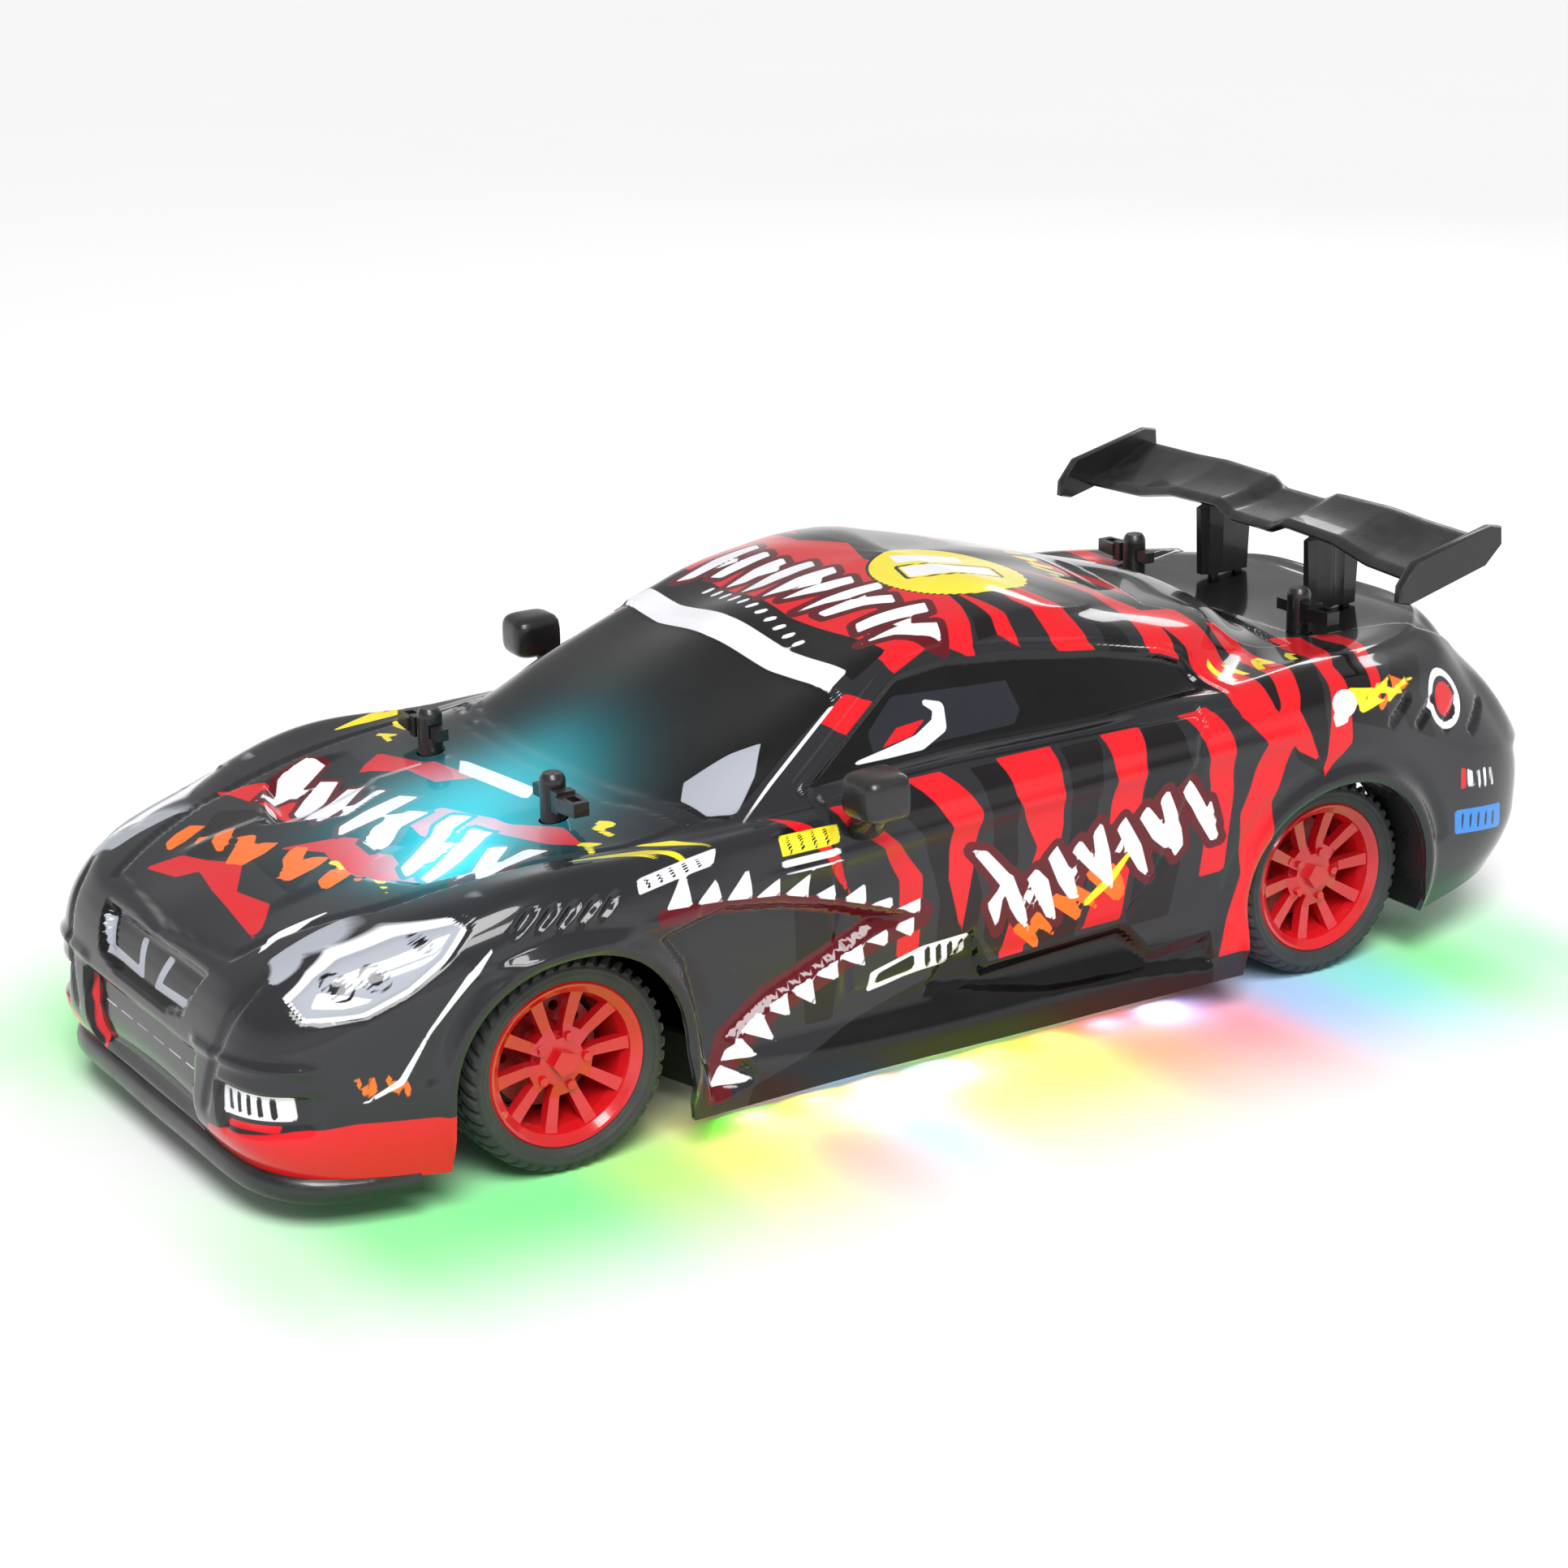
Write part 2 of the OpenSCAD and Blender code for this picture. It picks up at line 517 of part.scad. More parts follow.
// the front shaft carries a slotted cup at each end
module front_axle() {
    color([0.78, 0.79, 0.8]) along_y(front_x, 0, axle_z) difference() {
        union() {
            translate([0, 0, -cup_y - 0.5]) cylinder(r = axle_r, h = 2 * cup_y + 1);
            for (s = [-1, 1]) translate([0, 0, s > 0 ? cup_y : -cup_y - cup_l])
                cylinder(r = cup_r, h = cup_l);
        }
        for (s = [-1, 1]) {
            translate([0, 0, s > 0 ? cup_y + 1.4 : -cup_y - cup_l - 1])
                cylinder(r = cup_in_r, h = cup_l - 0.4);
            translate([-10, -1.1, s > 0 ? cup_y + 2.2 : -cup_y - cup_l - 1]) cube([20, 2.2, cup_l - 1.2]);
        }
    }
}
module dogbone(side) {
    color([0.72, 0.73, 0.75]) translate([front_x, 0, axle_z]) union() {
        for (y = [dog_in_y, kingpin_y]) translate([0, side * y, 0]) {
            sphere(r = ball_r);
            rotate([0, 90, 0]) translate([0, 0, -dog_pin_l / 2]) cylinder(r = 0.7, h = dog_pin_l, $fn = 24);
        }
        translate([0, side > 0 ? dog_in_y : -kingpin_y, 0]) rotate([-90, 0, 0])
            cylinder(r = 1.2, h = kingpin_y - dog_in_y);
    }
}
module dogbone_left() { dogbone(1); }
module dogbone_right() { dogbone(-1); }

stub_cup_y = kingpin_y - 2.4;
stub_cup_l = 5.6;
module stub_axle(side) {
    color([0.78, 0.79, 0.8]) translate([front_x, 0, axle_z]) rotate([-side * 90, 0, 0]) difference() {
        union() {
            translate([0, 0, stub_cup_y]) cylinder(r = cup_r, h = stub_cup_l);
            translate([0, 0, stub_cup_y]) cylinder(r = axle_r, h = axle_end_y - stub_cup_y);
            translate([0, 0, hub_face_y - 4]) hex(4);
        }
        translate([0, 0, stub_cup_y - 1]) cylinder(r = cup_in_r, h = stub_cup_l - 0.2);
        translate([-10, -1.3, stub_cup_y - 1]) cube([20, 2.6, stub_cup_l - 0.6]);
    }
}
module stub_axle_left() { stub_axle(1); }
module stub_axle_right() { stub_axle(-1); }

// ---------------------------------------------------------------- wheels
spoke_pairs = 5;
rim_w = tyre_w;
rim_wall = 1.6;
disc_y = tyre_out_y - 13.5;
// the hub end of a wheel is drawn at z = 0 on its outer side and the wheel runs towards -Z
module spoke_plan() {
    difference() {
        circle(r = rim_r - 1.2);
        for (k = [0:spoke_pairs - 1]) rotate(k * 360 / spoke_pairs) {
            spoke_window(22.5, 4.6, 2.5);
            spoke_window(58.5, 2.3, 1.6);
        }
    }
}
// an opening between two spokes, centred on angle a, wide at the rim and narrow at the hub
module spoke_window(a, foot_r, foot_half) {
    rotate(a) polygon([[foot_r + 2.8, -foot_half * 0.45], [rim_r - 3.2, -tan(12.6) * (rim_r - 3.2)],
        [rim_r - 2.1, -tan(9) * (rim_r - 2.1)], [rim_r - 1.8, 0], [rim_r - 2.1, tan(9) * (rim_r - 2.1)],
        [rim_r - 3.2, tan(12.6) * (rim_r - 3.2)], [foot_r + 2.8, foot_half * 0.45]]);
}
module rim_solid() {
    difference() {
        union() {
            rotate_extrude() polygon([[rim_r - 2.4, -rim_w + 1], [rim_r - 1, -rim_w + 1],
                [rim_r - 1, -rim_w + 2],
                [rim_r - 2.2, -rim_w + 3.4], [rim_r - 3, -rim_w / 2], [rim_r - 2.2, -3.6],
                    [rim_r - 1, -2.4],
                [rim_r, -1.8], [rim_r, -0.7], [rim_r - 0.5, -0.2], [rim_r - 1.1, -0.5], [rim_r - 2.6, -1.6],
                [rim_r - 3.6, -4], [rim_r - 4.4, -rim_w / 2], [rim_r - 3.6, -rim_w + 4]]);
            intersection() {
                rotate_extrude() polygon([[0, -2.8], [4.5, -2.8], [8, -3.4], [rim_r - 4, -2.4],
                    [rim_r - 1.4, -1.6],
                    [rim_r - 1.4, -2.6], [rim_r - 2.6, -4.2], [rim_r - 4, -4.8], [8, -6], [0, -6.2]]);
                translate([0, 0, -10]) linear_extrude(12) spoke_plan();
            }
            translate([0, 0, -10]) cylinder(r = 6, h = 5);
            translate([0, 0, -3]) cylinder(r = 2.9, h = 1.9, $fn = 5);
            for (k = [0:4]) rotate(k * 72 + 36) translate([5.6, 0, -3.2]) cylinder(r = 1, h = 1.1, $fn = 6);
        }
        translate([0, 0, -12]) hex(12 - 6.5);
        translate([0, 0, -12]) cylinder(r = axle_r, h = 12 - 4.2);
    }
}
module wheel_place(x, side) {
    translate([x, side * tyre_out_y, axle_z]) rotate([-side * 90, 0, 0]) children();
}
module rim(x, side) { color([0.85, 0.09, 0.08]) wheel_place(x, side) translate([0, 0, -0.6]) rim_solid(); }
module tread_plan() {
    polygon([for (k = [0:tread_blocks - 1]) let (p = 360 / tread_blocks, a = k * p) each [
        polar(tyre_r, a - 0.36 * p), polar(tyre_r, a + 0.36 * p),
        polar(tyre_r - 0.9, a + 0.42 * p), polar(tyre_r - 0.9, a + 0.58 * p)]]);
}
module tyre(x, side) {
    color([0.1, 0.1, 0.1]) wheel_place(x, side) intersection() {
        rotate_extrude() polygon([[rim_r + 0.05, -0.9], [rim_r + 0.05, -2.45], [rim_r - 0.95, -3.05],
            [rim_r - 2.15, -4.25],
            [rim_r - 2.15, -tyre_w + 2.85], [rim_r - 0.95, -tyre_w + 1.45], [rim_r - 0.95, -tyre_w + 0.4],
            [rim_r + 0.6, -tyre_w], [tyre_r - 2.2, -tyre_w + 0.4],
            [tyre_r - 0.5, -tyre_w + 1.8], [tyre_r, -tyre_w + 3.6], [tyre_r, -tyre_w / 2 - 0.6],
                [tyre_r - 0.8, -tyre_w / 2 - 0.3],
            [tyre_r - 0.8, -tyre_w / 2 + 0.3], [tyre_r, -tyre_w / 2 + 0.6], [tyre_r, -3.6],
                [tyre_r - 0.5, -1.8],
            [tyre_r - 2.2, -0.4], [rim_r + 0.6, 0]]);
        translate([0, 0, -tyre_w - 1]) linear_extrude(tyre_w + 2) tread_plan();
    }
}
module disc(x, side) {
    color([0.75, 0.1, 0.09]) translate([x, side * disc_y, axle_z]) rotate([-side * 90, 0, 0]) difference() {
        union() {
            cylinder(r = rim_r - 5.7, h = 1.6);
            cylinder(r = 6.4, h = 2.9);
        }
        translate([0, 0, -1]) hex(8);
        for (k = [0:9]) rotate(k * 36) translate([rim_r - 8.5, 0, -1]) cylinder(r = 1.1, h = 5, $fn = 20);
    }
}
module rim_front_left() { rim(front_x, 1); }
module rim_front_right() { rim(front_x, -1); }
module rim_rear_left() { rim(rear_x, 1); }
module rim_rear_right() { rim(rear_x, -1); }
module tyre_front_left() { tyre(front_x, 1); }
module tyre_front_right() { tyre(front_x, -1); }
module tyre_rear_left() { tyre(rear_x, 1); }
module tyre_rear_right() { tyre(rear_x, -1); }
module disc_front_left() { disc(front_x, 1); }
module disc_front_right() { disc(front_x, -1); }
module disc_rear_left() { disc(rear_x, 1); }
module disc_rear_right() { disc(rear_x, -1); }

// ---------------------------------------------------------------- steering
lug_in = 8;         // half height of the space between a knuckle's lugs
lug_out = 10.8;
rack_z = axle_z + 12;
rack_t = 3;
rack_x = front_x - steer_arm;
rack_pin_r = 1.2;
steer_turn = 20;
module knuckle(side) {
    color([0.12, 0.12, 0.13]) mirror_hand(side) translate([front_x, 0, axle_z]) difference() {
        union() {
            for (s = [-1, 1]) hull() {
                translate([0, kingpin_y, s > 0 ? lug_in : -lug_out])
                    cylinder(r = 3.2, h = lug_out - lug_in);
                translate([-3.5, kingpin_y + 4, s > 0 ? lug_in : -lug_out])
                    cube([7, 2.4, lug_out - lug_in]);
            }
            translate([-4.5, kingpin_y + 4, -lug_out]) cube([9, 2.4, 2 * lug_out]);
            along_y(0, kingpin_y + 4, 0) cylinder(r = 6.4, h = 8);
            hull() {
                translate([0, kingpin_y, lug_in]) cylinder(r = 3.2, h = lug_out - lug_in);
                translate([-steer_arm, kingpin_y, lug_in]) cylinder(r = 2.2, h = lug_out - lug_in);
            }
            translate([-steer_arm, kingpin_y, lug_out - 0.5])
                cylinder(r = rack_pin_r, h = rack_z + rack_t - axle_z - lug_out + 0.5);
        }
        translate([0, kingpin_y, -20]) cylinder(r = kingpin_r + run_fit, h = 40);
        along_y(0, kingpin_y + 1, 0) cylinder(r = axle_r + run_fit, h = 20);
        along_y(0, kingpin_y - 4, 0) cylinder(r = cup_r + gap, h = stub_cup_l + 2);
    }
}
module knuckle_left() { knuckle(1); }
module knuckle_right() { knuckle(-1); }

arm_gap = 0.3;
top_arm_z = axle_z + lug_out + arm_gap;
top_arm_t = 2.4;
low_arm_z = axle_z - lug_out - arm_gap;
low_arm_t = 2.6;
module kingpins() {
    color([0.7, 0.7, 0.72]) for (side = [-1, 1]) translate([front_x, side * kingpin_y, 0]) {
        translate([0, 0, axle_z + lug_in + 0.2])
            cylinder(r = kingpin_r, h = top_arm_z + top_arm_t - axle_z - lug_in);
        translate([0, 0, top_arm_z + top_arm_t]) cylinder(r = kingpin_r + 1, h = 1.3);
        translate([0, 0, low_arm_z - low_arm_t])
            cylinder(r = kingpin_r, h = low_arm_t + arm_gap + lug_out - lug_in - 0.2);
        translate([0, 0, low_arm_z - low_arm_t - 1.3]) cylinder(r = kingpin_r + 1, h = 1.3);
    }
}
module top_arm_plate() {
    color([0.11, 0.11, 0.12]) translate([0, 0, top_arm_z]) difference() {
        linear_extrude(top_arm_t) polygon([[front_x - 4.2, -kingpin_y - 3.4],
            [front_x + 4.2, -kingpin_y - 3.4],
            [front_x + 4.6, -16], [front_x + 11, -12], [front_x + 11, 12], [front_x + 4.6, 16],
            [front_x + 4.2, kingpin_y + 3.4], [front_x - 4.2, kingpin_y + 3.4], [front_x - 4.6, 16],
            [front_x - 10, 12], [front_x - 10, -12], [front_x - 4.6, -16]]);
        for (s = [-1, 1]) {
            translate([front_x, s * kingpin_y, -1]) cylinder(r = kingpin_r, h = 6);
            for (x = [-7, 8]) translate([front_x + x, s * 9, -1]) cylinder(r = screw_r, h = 6);
        }
    }
}
servo_x = 46;
servo_l = 23;
servo_ear = 5;
servo_holes = [servo_x - 2.7, servo_x + servo_l + 2.7];
servo_h = 12;
servo_z = rack_z - 9.9;
horn_x = 65;
horn_arm = rack_x - horn_x;
horn_z = rack_z + rack_t + 0.4;
horn_turn = asin(steer_arm * sin(steer_turn) / horn_arm);
slot_gap = 0.35;
module steering_rack() {
    color([0.15, 0.15, 0.16]) translate([0, 0, rack_z]) difference() {
        union() {
            translate([rack_x - 2.4, -kingpin_y - 3, 0]) cube([4.8, 2 * kingpin_y + 6, rack_t]);
            for (s = [-1, 1]) translate([rack_x - 3.4, s * kingpin_y - 3, 0]) cube([6.8, 6, rack_t]);
            translate([rack_x - 4.4, -3.4, 0]) cube([6.8, 6.8, rack_t]);
        }
        for (s = [-1, 1])
            translate([rack_x - rack_pin_r - slot_gap, s * kingpin_y - rack_pin_r - slot_gap, -1])
            cube([2 * rack_pin_r + 2 * slot_gap + 1, 2 * rack_pin_r + 2 * slot_gap, 6]);
        translate([rack_x - rack_pin_r - slot_gap - 1.9, -rack_pin_r - slot_gap, -1])
            cube([2 * rack_pin_r + 2 * slot_gap + 1.9, 2 * rack_pin_r + 2 * slot_gap, 6]);
    }
}
module servo_horn() {
    color([0.85, 0.85, 0.82]) difference() {
        union() {
            hull() {
                translate([horn_x, 0, horn_z]) cylinder(r = 4, h = 2, $fn = 32);
                translate([rack_x, 0, horn_z]) cylinder(r = 2, h = 2, $fn = 32);
            }
            translate([horn_x, 0, horn_z - 1.2]) cylinder(r = 4, h = 3.4);
            translate([rack_x, 0, rack_z + 0.2]) cylinder(r = rack_pin_r, h = rack_t + 1);
        }
        translate([horn_x, 0, horn_z - 3]) cylinder(r = 1.5 + run_fit, h = 8);
    }
}
module steering_servo() {
    color([0.13, 0.13, 0.14]) difference() {
        union() {
            translate([servo_x, -8, servo_z]) cube([servo_l, 16, servo_h - 0.6]);
            translate([servo_x - servo_ear, -8, servo_z + 6]) cube([servo_l + 2 * servo_ear, 16, 1.8]);
            translate([horn_x, 0, servo_z]) cylinder(r = 1.5, h = horn_z + 2 - servo_z);
            translate([horn_x, 0, servo_z]) cylinder(r = 4.5, h = horn_z - 1.5 - servo_z);
        }
        for (x = servo_holes) for (s = [-1, 1]) translate([x, s * 5, servo_z])
            cylinder(r = screw_r, h = 12);
    }
}

// ---------------------------------------------------------------- chassis
front_case = [-12, 13, 14];     // rear end and front end from the axle, half width
rear_case = [-14, 41, 24.5];
case_top_front = top_arm_z - 0.2;
case_top_rear = axle_z + spur_r + spur_module + 3;
bush_r = 4.2;
nose_w = 20;
hatch = [-44, 16, 8, 41];      // rear, front, inner and outer edge of the battery opening
tab_y = (hatch[2] + hatch[3]) / 2;
tab_l = 8;                     // the battery cover's screw tab, let into the floor
tab_w = 10;
tab_t = 1.2;
switch_x = 36;
switch_y = 26;

module tub_outline(t) {
    w = tub_half_w - t;
    polygon([[-132 + t, -20 + t], [-126 + t, -30 + t], [-72 + t * 0.6, -30 + t], [-66 + t * 0.6, -w],
        [62 - t, -w], [69 - t * 0.6, -26 + t],
        [74, -nose_w + t], [126 - t, -nose_w + t], [tub_nose_x - t, -14 + t], [tub_nose_x - t, 14 - t],
            [126 - t, nose_w - t], [74, nose_w - t],
        [69 - t * 0.6, 26 - t], [62 - t, w], [-66 + t * 0.6, w], [-72 + t * 0.6, 30 - t],
            [-126 + t, 30 - t], [-132 + t, 20 - t]]);
}
// the four walls of a gear case, open at the top
module case_walls(x, size, z0, z1) {
    translate([x + size[0], -size[2], z0]) difference() {
        cube([size[1] - size[0], 2 * size[2], z1 - z0]);
        translate([wall_t, wall_t, -1]) cube([size[1] - size[0] - 2 * wall_t, 2 * size[2] - 2 * wall_t,
            z1 - z0 + 2]);
    }
}
module bush_seats(r) {
    for (s = [-1, 1]) {
        along_y(rear_x, s > 0 ? rear_case[2] - 5 : -rear_case[2] - 1, axle_z) cylinder(r = r, h = 6);
        along_y(front_x, s > 0 ? front_case[2] - 5 : -front_case[2] - 1, axle_z) cylinder(r = r, h = 6);
    }
    along_x(rear_x + rear_case[1] - wall_t - 1, 0, axle_z) cylinder(r = r, h = wall_t + 2);
    along_x(front_x + front_case[0] - 1, 0, axle_z) cylinder(r = r, h = wall_t + 2);
    along_x(rear_x + rear_case[1] - wall_t - 1, motor_y, axle_z) cylinder(r = 5, h = wall_t + 2);
}
module saddle(x) {
    translate([x, motor_y - motor_r - 1.5, floor_top - 0.5]) cube([3, 2 * motor_r + 1, 8]);
}
strip_y = tub_half_w - 4;
module chassis_tub() {
    color([0.13, 0.13, 0.14])
    difference() {
        union() {
            translate([0, 0, ride_height]) linear_extrude(floor_t) tub_outline(0);
            translate([0, 0, floor_top - eps]) linear_extrude(9) difference() {
                tub_outline(0);
                tub_outline(wall_t);
            }
            case_walls(rear_x, rear_case, floor_top - 0.5, axle_z);
            case_walls(front_x, front_case, floor_top - 0.5, axle_z);
            saddle(motor_x + 5);
            saddle(motor_x + motor_l - 8);
            for (s = [-1, 1]) {
                translate([front_x - 4.5, s > 0 ? front_case[2] - 2 : -kingpin_y - 3,
                    low_arm_z - low_arm_t])
                    cube([9, kingpin_y + 5 - front_case[2], low_arm_t]);
                for (x = board_holes) translate([x, board_y + s * board_hole_y, floor_top - 0.5])
                    cylinder(r = 2.6, h = board_z - floor_top + 0.5);
                for (x = servo_holes) translate([x - 2, s * 5.75 - 2.75, floor_top - 0.5])
                    cube([4, 5.5, servo_z + 6 - floor_top + 0.5]);
            }
        }
        translate([hatch[0], hatch[2], 0]) cube([hatch[1] - hatch[0], hatch[3] - hatch[2], 12]);
        translate([hatch[1] - 1, tab_y - tab_w / 2 - 0.1, 0])
            cube([tab_l + 1.2, tab_w + 0.2, ride_height + tab_t + 0.1]);
        bush_seats(bush_r);
        for (x = [motor_x + 5, motor_x + motor_l - 8]) along_x(x - 1, motor_y, axle_z)
            cylinder(r = motor_r + 0.02, h = 6);
        for (s = [-1, 1]) {
            translate([front_x, s * kingpin_y, 0]) cylinder(r = kingpin_r, h = 20);
            translate([-62, s * strip_y - 3, 0]) cube([120, 6, ride_height + 0.8]);
            for (x = board_holes) translate([x, board_y + s * board_hole_y, floor_top])
                cylinder(r = screw_r - 0.3, h = 10);
            for (x = servo_holes) translate([x, s * 5, servo_z]) cylinder(r = screw_r - 0.3, h = 10);
        }
        translate([switch_x - 6, switch_y - 2, 0]) cube([12, 4, 20]);
        translate([hatch[1] + 4, tab_y, 0]) cylinder(r = screw_r, h = 20);
        for (x = [-120, 124]) translate([x, 0, 0]) cylinder(r = 2, h = 20);
    }
}
module battery_cover() {
    color([0.12, 0.12, 0.13]) difference() {
        union() {
            translate([hatch[0] + 0.2, hatch[2] + 0.2, ride_height])
                cube([hatch[1] - hatch[0] - 0.4, hatch[3] - hatch[2] - 0.4, floor_t]);
            translate([hatch[1] - 2, tab_y - tab_w / 2, ride_height]) cube([tab_l + 2, tab_w, tab_t]);
            for (y = [hatch[2] + 4, hatch[3] - 10]) translate([hatch[0] - 3, y, floor_top])
                cube([6, 6, 1.2]);
        }
        translate([hatch[1] + 4, tab_y, 0]) cylinder(r = screw_r, h = 20);
        for (k = [0:6]) translate([hatch[0] + 8 + 7 * k, hatch[2] + 7, ride_height - 1]) cube([2, 21, 1.6]);
    }
}
battery_l = 52;
module battery_pack() {
    color([0.1, 0.25, 0.6]) translate([-40, hatch[2] + 2.2, floor_top]) hull() for (y = [7.4, 21.6])
        along_x(0, y, 7.3) cylinder(r = 7.3, h = battery_l, $fn = 40);
}
module front_gear_cover() {
    color([0.12, 0.12, 0.13]) difference() {
        union() {
            case_walls(front_x, front_case, axle_z, case_top_front - 1.5);
            translate([front_x + front_case[0], -front_case[2], case_top_front - 2])
                cube([front_case[1] - front_case[0], 2 * front_case[2], 2]);
            translate([rack_x - 5, -12, rack_z - 2.1]) cube([10.6, 24, 1.9]);
            translate([rack_x + 3.6, -12, rack_z - 2.1]) cube([2, 24, 3]);
        }
        bush_seats(bush_r);
        for (s = [-1, 1]) for (x = [-7, 8]) translate([front_x + x, s * 9, 0])
            cylinder(r = screw_r - 0.2, h = 60);
    }
}
module rear_gear_cover() {
    color([0.12, 0.12, 0.13]) difference() {
        union() {
            case_walls(rear_x, rear_case, axle_z, case_top_rear - 1.5);
            translate([rear_x + rear_case[0], -rear_case[2], case_top_rear - 2])
                cube([rear_case[1] - rear_case[0], 2 * rear_case[2], 2]);
        }
        bush_seats(bush_r);
    }
}
module bush(t, l) {
    difference() {
        cylinder(r = bush_r, h = l);
        translate([0, 0, -1]) cylinder(r = t + run_fit, h = l + 2);
    }
}
module shaft_bushes() {
    color([0.72, 0.55, 0.25]) {
        for (s = [-1, 1]) {
            along_y(rear_x, s > 0 ? rear_case[2] - 3.4 : -rear_case[2] - 0.6, axle_z) bush(axle_r, 4);
            along_y(front_x, s > 0 ? front_case[2] - 3.4 : -front_case[2] + 0.4, axle_z) bush(axle_r, 3);
        }
        along_x(rear_x + rear_case[1] - wall_t, 0, axle_z) bush(shaft_r, 2.2);
        along_x(front_x + front_case[0] - 1, 0, axle_z) bush(shaft_r, 3);
    }
}

// ---------------------------------------------------------------- body posts and clips
// height of the shell's upper side over a point, weighted to the nearest points of its rings
function shell_top(x, y) =
    let (
        upper = [for (row = shell_rows, p = row) if (p[2] > 50) p],
        weight = [for (p = upper) 1 / pow(norm([p[0] - x, p[1] - y]), 4)]
    )
    weight * [for (p = upper) p[2]] / (weight * [for (p = upper) 1]);
front_shell_z = shell_top(front_post_x, front_post_y);
rear_shell_z = shell_top(rear_post_x, rear_post_y);
post_top = 9.6;
clip_up = 3.4;
post_r = post_d / 2;
module body_post(x, y, z0, zs) {
    translate([x, y, 0]) difference() {
        union() {
            translate([0, 0, z0]) cylinder(r1 = post_r + 1.6, r2 = post_r, h = 8);
            translate([0, 0, z0]) cylinder(r = post_r, h = zs + post_top - post_r * 0.7 - z0);
            translate([0, 0, zs + post_top - post_r * 0.7]) intersection() {
                sphere(r = post_r);
                cylinder(r = post_r + 1, h = post_r * 0.7);
            }
            translate([0, 0, zs - 4.6]) cylinder(r = post_r + 1.6, h = 2);
        }
        translate([-clip_slot_w / 2, -10, zs + clip_up - 0.25]) cube([clip_slot_w, 20, clip_h + 0.5]);
    }
}
clip_slot_w = 3;
bridge_z = top_arm_z + top_arm_t;
bridge_h = 8.2;         // height of the front bridge's box under its plate
module front_post_bridge() {
    color([0.1, 0.1, 0.11]) union() {
        difference() {
            translate([front_x - 10, -11.5, bridge_z]) cube([20, 23, bridge_h]);
            for (s = [-1, 1]) for (x = [-7, 8]) translate([front_x + x, s * 9, bridge_z - 1])
                cylinder(r = 2.6, h = 5);
            translate([front_x - 6, -7, bridge_z - 1]) cube([12, 14, bridge_h - 1.5]);
        }
        difference() {
            translate([0, 0, bridge_z + bridge_h]) linear_extrude(2.6) polygon([[front_x - 8, -11.5],
                [front_x + 10, -11.5], [front_x + 10, 11.5], [front_x - 8, 11.5],
                    [front_post_x + 4, front_post_y + 3],
                [front_post_x + 3, front_post_y + 4], [front_post_x - 4.5, front_post_y + 4],
                [front_post_x - 4.5, front_post_y - 4], [front_x - 12, 9],
                [front_x - 12, -9], [front_post_x - 4.5, -front_post_y + 4],
                    [front_post_x - 4.5, -front_post_y - 4],
                [front_post_x + 3, -front_post_y - 4], [front_post_x + 4, -front_post_y - 3]]);
            translate([front_x, 0, bridge_z]) cylinder(r = 5, h = 20);
        }
        for (s = [-1, 1]) body_post(front_post_x, s * front_post_y, bridge_z + bridge_h + 2, front_shell_z);
    }
}
rear_bridge_z = 50;
module rear_post_bridge() {
    color([0.1, 0.1, 0.11]) union() {
        for (s = [-1, 1]) hull() {
            translate([rear_x - 13, s * 15 - 5, case_top_rear]) cube([26, 10, 1]);
            translate([rear_post_x - 4, s * 17 - 5, rear_bridge_z - 2]) cube([12, 10, 2]);
        }
        difference() {
            translate([0, 0, rear_bridge_z]) linear_extrude(2.6)
                polygon([[rear_post_x - 5, -rear_post_y - 4.5],
                [rear_post_x + 5, -rear_post_y - 4.5], [rear_post_x + 12, -20], [rear_post_x + 12, 20],
                [rear_post_x + 5, rear_post_y + 4.5], [rear_post_x - 5, rear_post_y + 4.5],
                    [rear_post_x - 8, 20],
                [rear_post_x - 8, -20]]);
            translate([rear_post_x + 2, 0, rear_bridge_z - 1]) cylinder(r = 6, h = 5);
        }
        for (s = [-1, 1]) body_post(rear_post_x, s * rear_post_y, rear_bridge_z + 2.5, rear_shell_z);
    }
}
// the tongue goes through the post's slot; the handle is a loop on the outer side
module clip(x, y, zs, side) {
    color([0.09, 0.09, 0.09]) mirror_hand(side) translate([x, y, zs + clip_up]) difference() {
        union() {
            translate([-1.3, -post_r - 3.6, 0]) cube([2.6, post_d + 6.4, clip_h]);
            translate([-2.2, post_r + 0.35, -1.1]) cube([4.4, 2.6, clip_h + 2]);
            translate([-2.6, post_r + 2.6, -0.2]) hull() {
                cube([5.2, 1, clip_h + 0.4]);
                translate([0.8, 6, 0]) cube([3.6, 0.8, clip_h + 0.4]);
            }
        }
        translate([-1.1, post_r + 4.4, -3]) cube([2.2, 3.4, 10]);
    }
}
module clip_front_left() { clip(front_post_x, front_post_y, front_shell_z, 1); }
module clip_front_right() { clip(front_post_x, front_post_y, front_shell_z, -1); }
module clip_rear_left() { clip(rear_post_x, rear_post_y, rear_shell_z, 1); }
module clip_rear_right() { clip(rear_post_x, rear_post_y, rear_shell_z, -1); }

